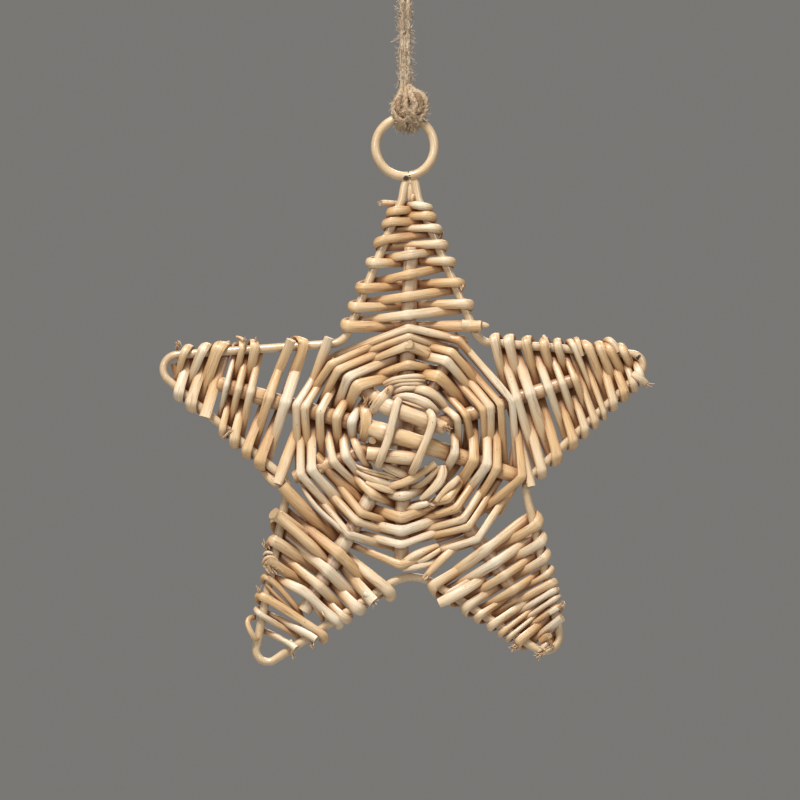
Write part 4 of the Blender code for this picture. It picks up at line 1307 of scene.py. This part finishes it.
def round_points(spokes, others, rod, parity):
    """Points of a rod that runs part of the way round the middle."""
    first, width, before_first, after_last, distances = rod
    count = len(distances)
    bars = []
    for index, distance in enumerate(distances):
        spoke = spokes[(first + index) % len(spokes)]
        if index == 0:
            behind = before_first
        else:
            behind = (distances[index - 1] + distance) / 2.0
        between = others[(first + index + parity) % len(others)]
        bars.append((between, behind, 1))
        bars.append((spoke, distance, -1))
        if index == count - 1:
            between = others[(first + index + 1 + parity) % len(others)]
            bars.append((between, after_last, 1))
    found = []
    for (name, end), distance, side in bars:
        metres = distance * PIXEL
        place, direction, depth, slope, reach = spoke_at(name, end, metres)
        passed = metres - reach < 0.0024
        found.append((place, direction, depth, slope, side if passed else 0.25 * side))
    offsets = []
    for index, (place, direction, _, slope, side) in enumerate(found):
        legs = []
        if index > 0:
            legs.append(place - found[index - 1][0])
        if index < len(found) - 1:
            legs.append(found[index + 1][0] - place)
        slant = min(direction.cross(leg.normalized()).length for leg in legs)
        clear = (SPOKE / 2.0 + ROD_CLEARANCE + ROD_THICKNESS / 2.0) / slant * math.hypot(1.0, slope)
        offsets.append(side * clear)
    angles = []
    for index in range(len(found) - 1):
        run = (found[index + 1][0] - found[index][0]).length
        rise = found[index + 1][2] - found[index][2]
        angles.append(tight_angle(run, rise, offsets[index], offsets[index + 1]))
    points = []
    last = len(found) - 1
    for index, (place, _, depth, _, _) in enumerate(found):
        if index in (0, last):
            angle = angles[0] if index == 0 else angles[-1]
            overhang = -END_OVERHANG if index == 0 else END_OVERHANG
            corners = [free_end(0.0, offsets[index], angle, overhang)]
            if index == 0:
                corners.append(free_end(0.0, offsets[index], angle, 0.0))
            else:
                corners.insert(0, free_end(0.0, offsets[index], angle, 0.0))
        else:
            corners = tight_corners(offsets[index], angles[index - 1], angles[index], 2)
        for along, lift in corners:
            if index == last or (along < 0.0 and index > 0):
                leg = place - found[index - 1][0]
            else:
                leg = found[index + 1][0] - place
            points.append(place + leg.normalized() * along + Vector((0.0, depth + lift, 0.0)))
    return points


def make_centre_weave(look):
    groups = ((EVEN_SPOKES, ODD_SPOKES, EVEN_RODS, -1), (ODD_SPOKES, EVEN_SPOKES, ODD_RODS, 0))
    for number, (spokes, others, rods, parity) in enumerate(groups):
        bundle = Bundle("woven_round_" + str(number + 1))
        for rod in rods:
            line = resampled(rounded(round_points(spokes, others, rod, parity)), 0.00055)
            outwards = line - np.array(tuple(HUB))
            outwards[:, 1] = 0.0
            bundle.add_rod(line, unit(outwards), rod[1] * PIXEL, ROD_THICKNESS,
                           float(rng.uniform(0.0, 1.0)), unevenness=0.05)
        if number == 1:
            add_loose_rods(bundle, MIDDLE_RODS)
            add_frays(bundle, MIDDLE_FRAYS)
        put_on(bundle.build(look), "peeled_willow", "centre_weaver_" + str(number + 1))


# Loose rods

def loose_line(points, spacing=0.0005):
    places = [from_photo(px, py, depth * 0.001) for px, py, depth in points]
    return resampled(rounded(places, 3), spacing)


def add_loose_rods(bundle, rods):
    for width, thickness, tone, taper, points in rods:
        line = loose_line(points)
        bundle.add_rod(line, flat_guide(line), width * PIXEL, thickness * 0.001, tone,
                       taper=taper, unevenness=0.07)


def add_fibre(bundle, place, direction, length, thickness, curl, tone, sides=4):
    """A fine fibre that leaves a place and wanders off."""
    heading = Vector(direction).normalized()
    steps = 6
    points = [Vector(place)]
    for _ in range(steps):
        sway = Vector(tuple(rng.normal(0.0, curl, 3)))
        heading = (heading + sway).normalized()
        points.append(points[-1] + heading * (length / steps))
    line = resampled(rounded(points, 1), length / 8.0)
    guide = constant(Vector((0.31, 0.17, 0.93)), len(line))
    bundle.add_rod(line, guide, thickness, thickness, tone, sides=sides, taper=(1.0, 0.3),
                   flats=0.0, unevenness=0.0, caps=(0.0, 0.0))


def add_frays(bundle, frays):
    """Torn fibres at the ends and bends of rods."""
    spread = 0.26
    for px, py, depth, (across, down), count, length, reach, tone in frays:
        for _ in range(count):
            start = from_photo(px, py, depth * 0.001) + Vector(tuple(rng.normal(0.0, reach * 0.0004, 3)))
            way = Vector((across, 0.0, -down)).normalized() + Vector(tuple(rng.normal(0.0, spread, 3)))
            add_fibre(bundle, start, way, length * 0.001 * float(rng.uniform(0.5, 1.2)),
                      float(rng.uniform(0.00025, 0.0006)), 0.10, tone + float(rng.uniform(-0.15, 0.15)))


def make_bindings(look):
    for side, (width, points) in BINDINGS.items():
        line = loose_line(points)
        skein = Bundle("skein_" + side)
        skein.add_rod(line, flat_guide(line), width * PIXEL, SKEIN_THICKNESS, SKEIN_TONE, taper=(0.8, 0.7),
                      unevenness=0.03, flats=0.02)
        put_on(skein.build(look), "peeled_willow", "binding_" + side)


def make_butts(look):
    for place, (width, points) in BUTTS.items():
        line = loose_line(points, 0.0008)
        stick = Bundle("butt_end_" + place)
        stick.add_rod(line, flat_guide(line), width * PIXEL, BUTT_THICKNESS, BUTT_TONE,
                      sides=18, taper=(0.85, 0.9), unevenness=0.03, flats=0.02)
        put_on(stick.build(look), "peeled_willow", "butt_" + place)


# Twine

def twine_route():
    """The loop's route, as in the frame."""
    narrow = (TWINE + TWINE_GAP) / 2.0
    top = TWINE / 2.0
    shoulder = top - LOOP_RADIUS
    bottom = RING_CENTRE.z + RING_RADIUS + KNOT_ABOVE_RING_WIRE + KNOT_HEIGHT / 2.0 + GAP
    straight = shoulder - LOOP_NARROWS_OVER
    leg = [(narrow, bottom), (narrow, (bottom + straight) / 2.0)]
    steps = 5
    for step in range(steps):
        share = step / steps
        leg.append((narrow + (LOOP_RADIUS - narrow) * smooth_step(share), straight + LOOP_NARROWS_OVER * share))
    bight = []
    arc_steps = 8
    for step in range(arc_steps + 1):
        turn = math.pi * step / arc_steps
        bight.append((-LOOP_RADIUS * math.cos(turn), shoulder + LOOP_RADIUS * math.sin(turn)))
    route = [(-x, z) for x, z in leg] + bight + list(reversed(leg))
    return [Vector((x, 0.0, z)) for x, z in route]


def add_twine(bundle, line, thickness, tone):
    bundle.add_rod(line, constant(Vector((0.3, -0.9, 0.2)), len(line)), thickness, thickness, tone,
                   sides=18, flats=0.0, unevenness=0.05, lobes=3, twist=TWINE_TWIST, caps=(0.0, 0.0))


def add_fuzz(bundle, line, count, length, downwards=0.0):
    """Stray hairs along a strand."""
    for _ in range(count):
        index = int(rng.integers(1, len(line) - 1))
        along = Vector(tuple(line[index + 1] - line[index - 1])).normalized()
        out = Vector(tuple(rng.normal(0.0, 1.0, 3)))
        out = (out - along * out.dot(along)).normalized()
        place = Vector(tuple(line[index])) + out * (TWINE * 0.45)
        way = out * float(rng.uniform(0.1, 0.7)) + along * float(rng.choice((-1.0, 1.0)))
        way -= Vector((0.0, 0.0, downwards))
        add_fibre(bundle, place, way, length * float(rng.uniform(0.35, 1.0)), 0.00016, 0.34,
                  float(rng.uniform(0.0, 0.9)), sides=3)


def make_knot(look):
    knot = Bundle("jute_hitch")
    for strand in KNOT_STRANDS:
        line = loose_line(strand)
        add_twine(knot, line, KNOT_TWINE, float(rng.uniform(0.5, 1.0)))
        add_fuzz(knot, line, KNOT_HAIRS, 0.0036, 0.25)
    put_on(knot.build(look), "jute_twine", "twine_knot")


def make_twine(look):
    route = twine_route()
    line = resampled(np.array([tuple(point) for point in route]), 0.0005)
    strand = Bundle("jute_loop")
    add_twine(strand, line, TWINE, 0.3)
    loop = put_on(strand.build(look), "jute_twine", "twine")
    fuzz = Bundle("jute_hairs")
    between = [Vector((0.0, -0.0006, z)) for z in np.linspace(route[0].z, -3.0 * LOOP_NARROWS_OVER, 12)]
    add_twine(fuzz, resampled(np.array([tuple(point) for point in between]), 0.0005), STRAY_STRAND, 0.3)
    add_fuzz(fuzz, line, TWINE_HAIRS, 0.0048)
    hairs = put_on(fuzz.build(look), "jute_twine")


def main():
    make_camera()
    make_stage()
    jute = jute_material()
    make_twine(jute)
    make_knot(jute)
    wire = wire_material(WIRE_CHIPS)
    make_star_frame(wire)
    make_ring(wire)
    willow = willow_material()
    make_spokes(willow)
    make_arm_weaves(willow)
    make_centre_weave(willow)
    make_bindings(willow)
    make_butts(willow)


main()
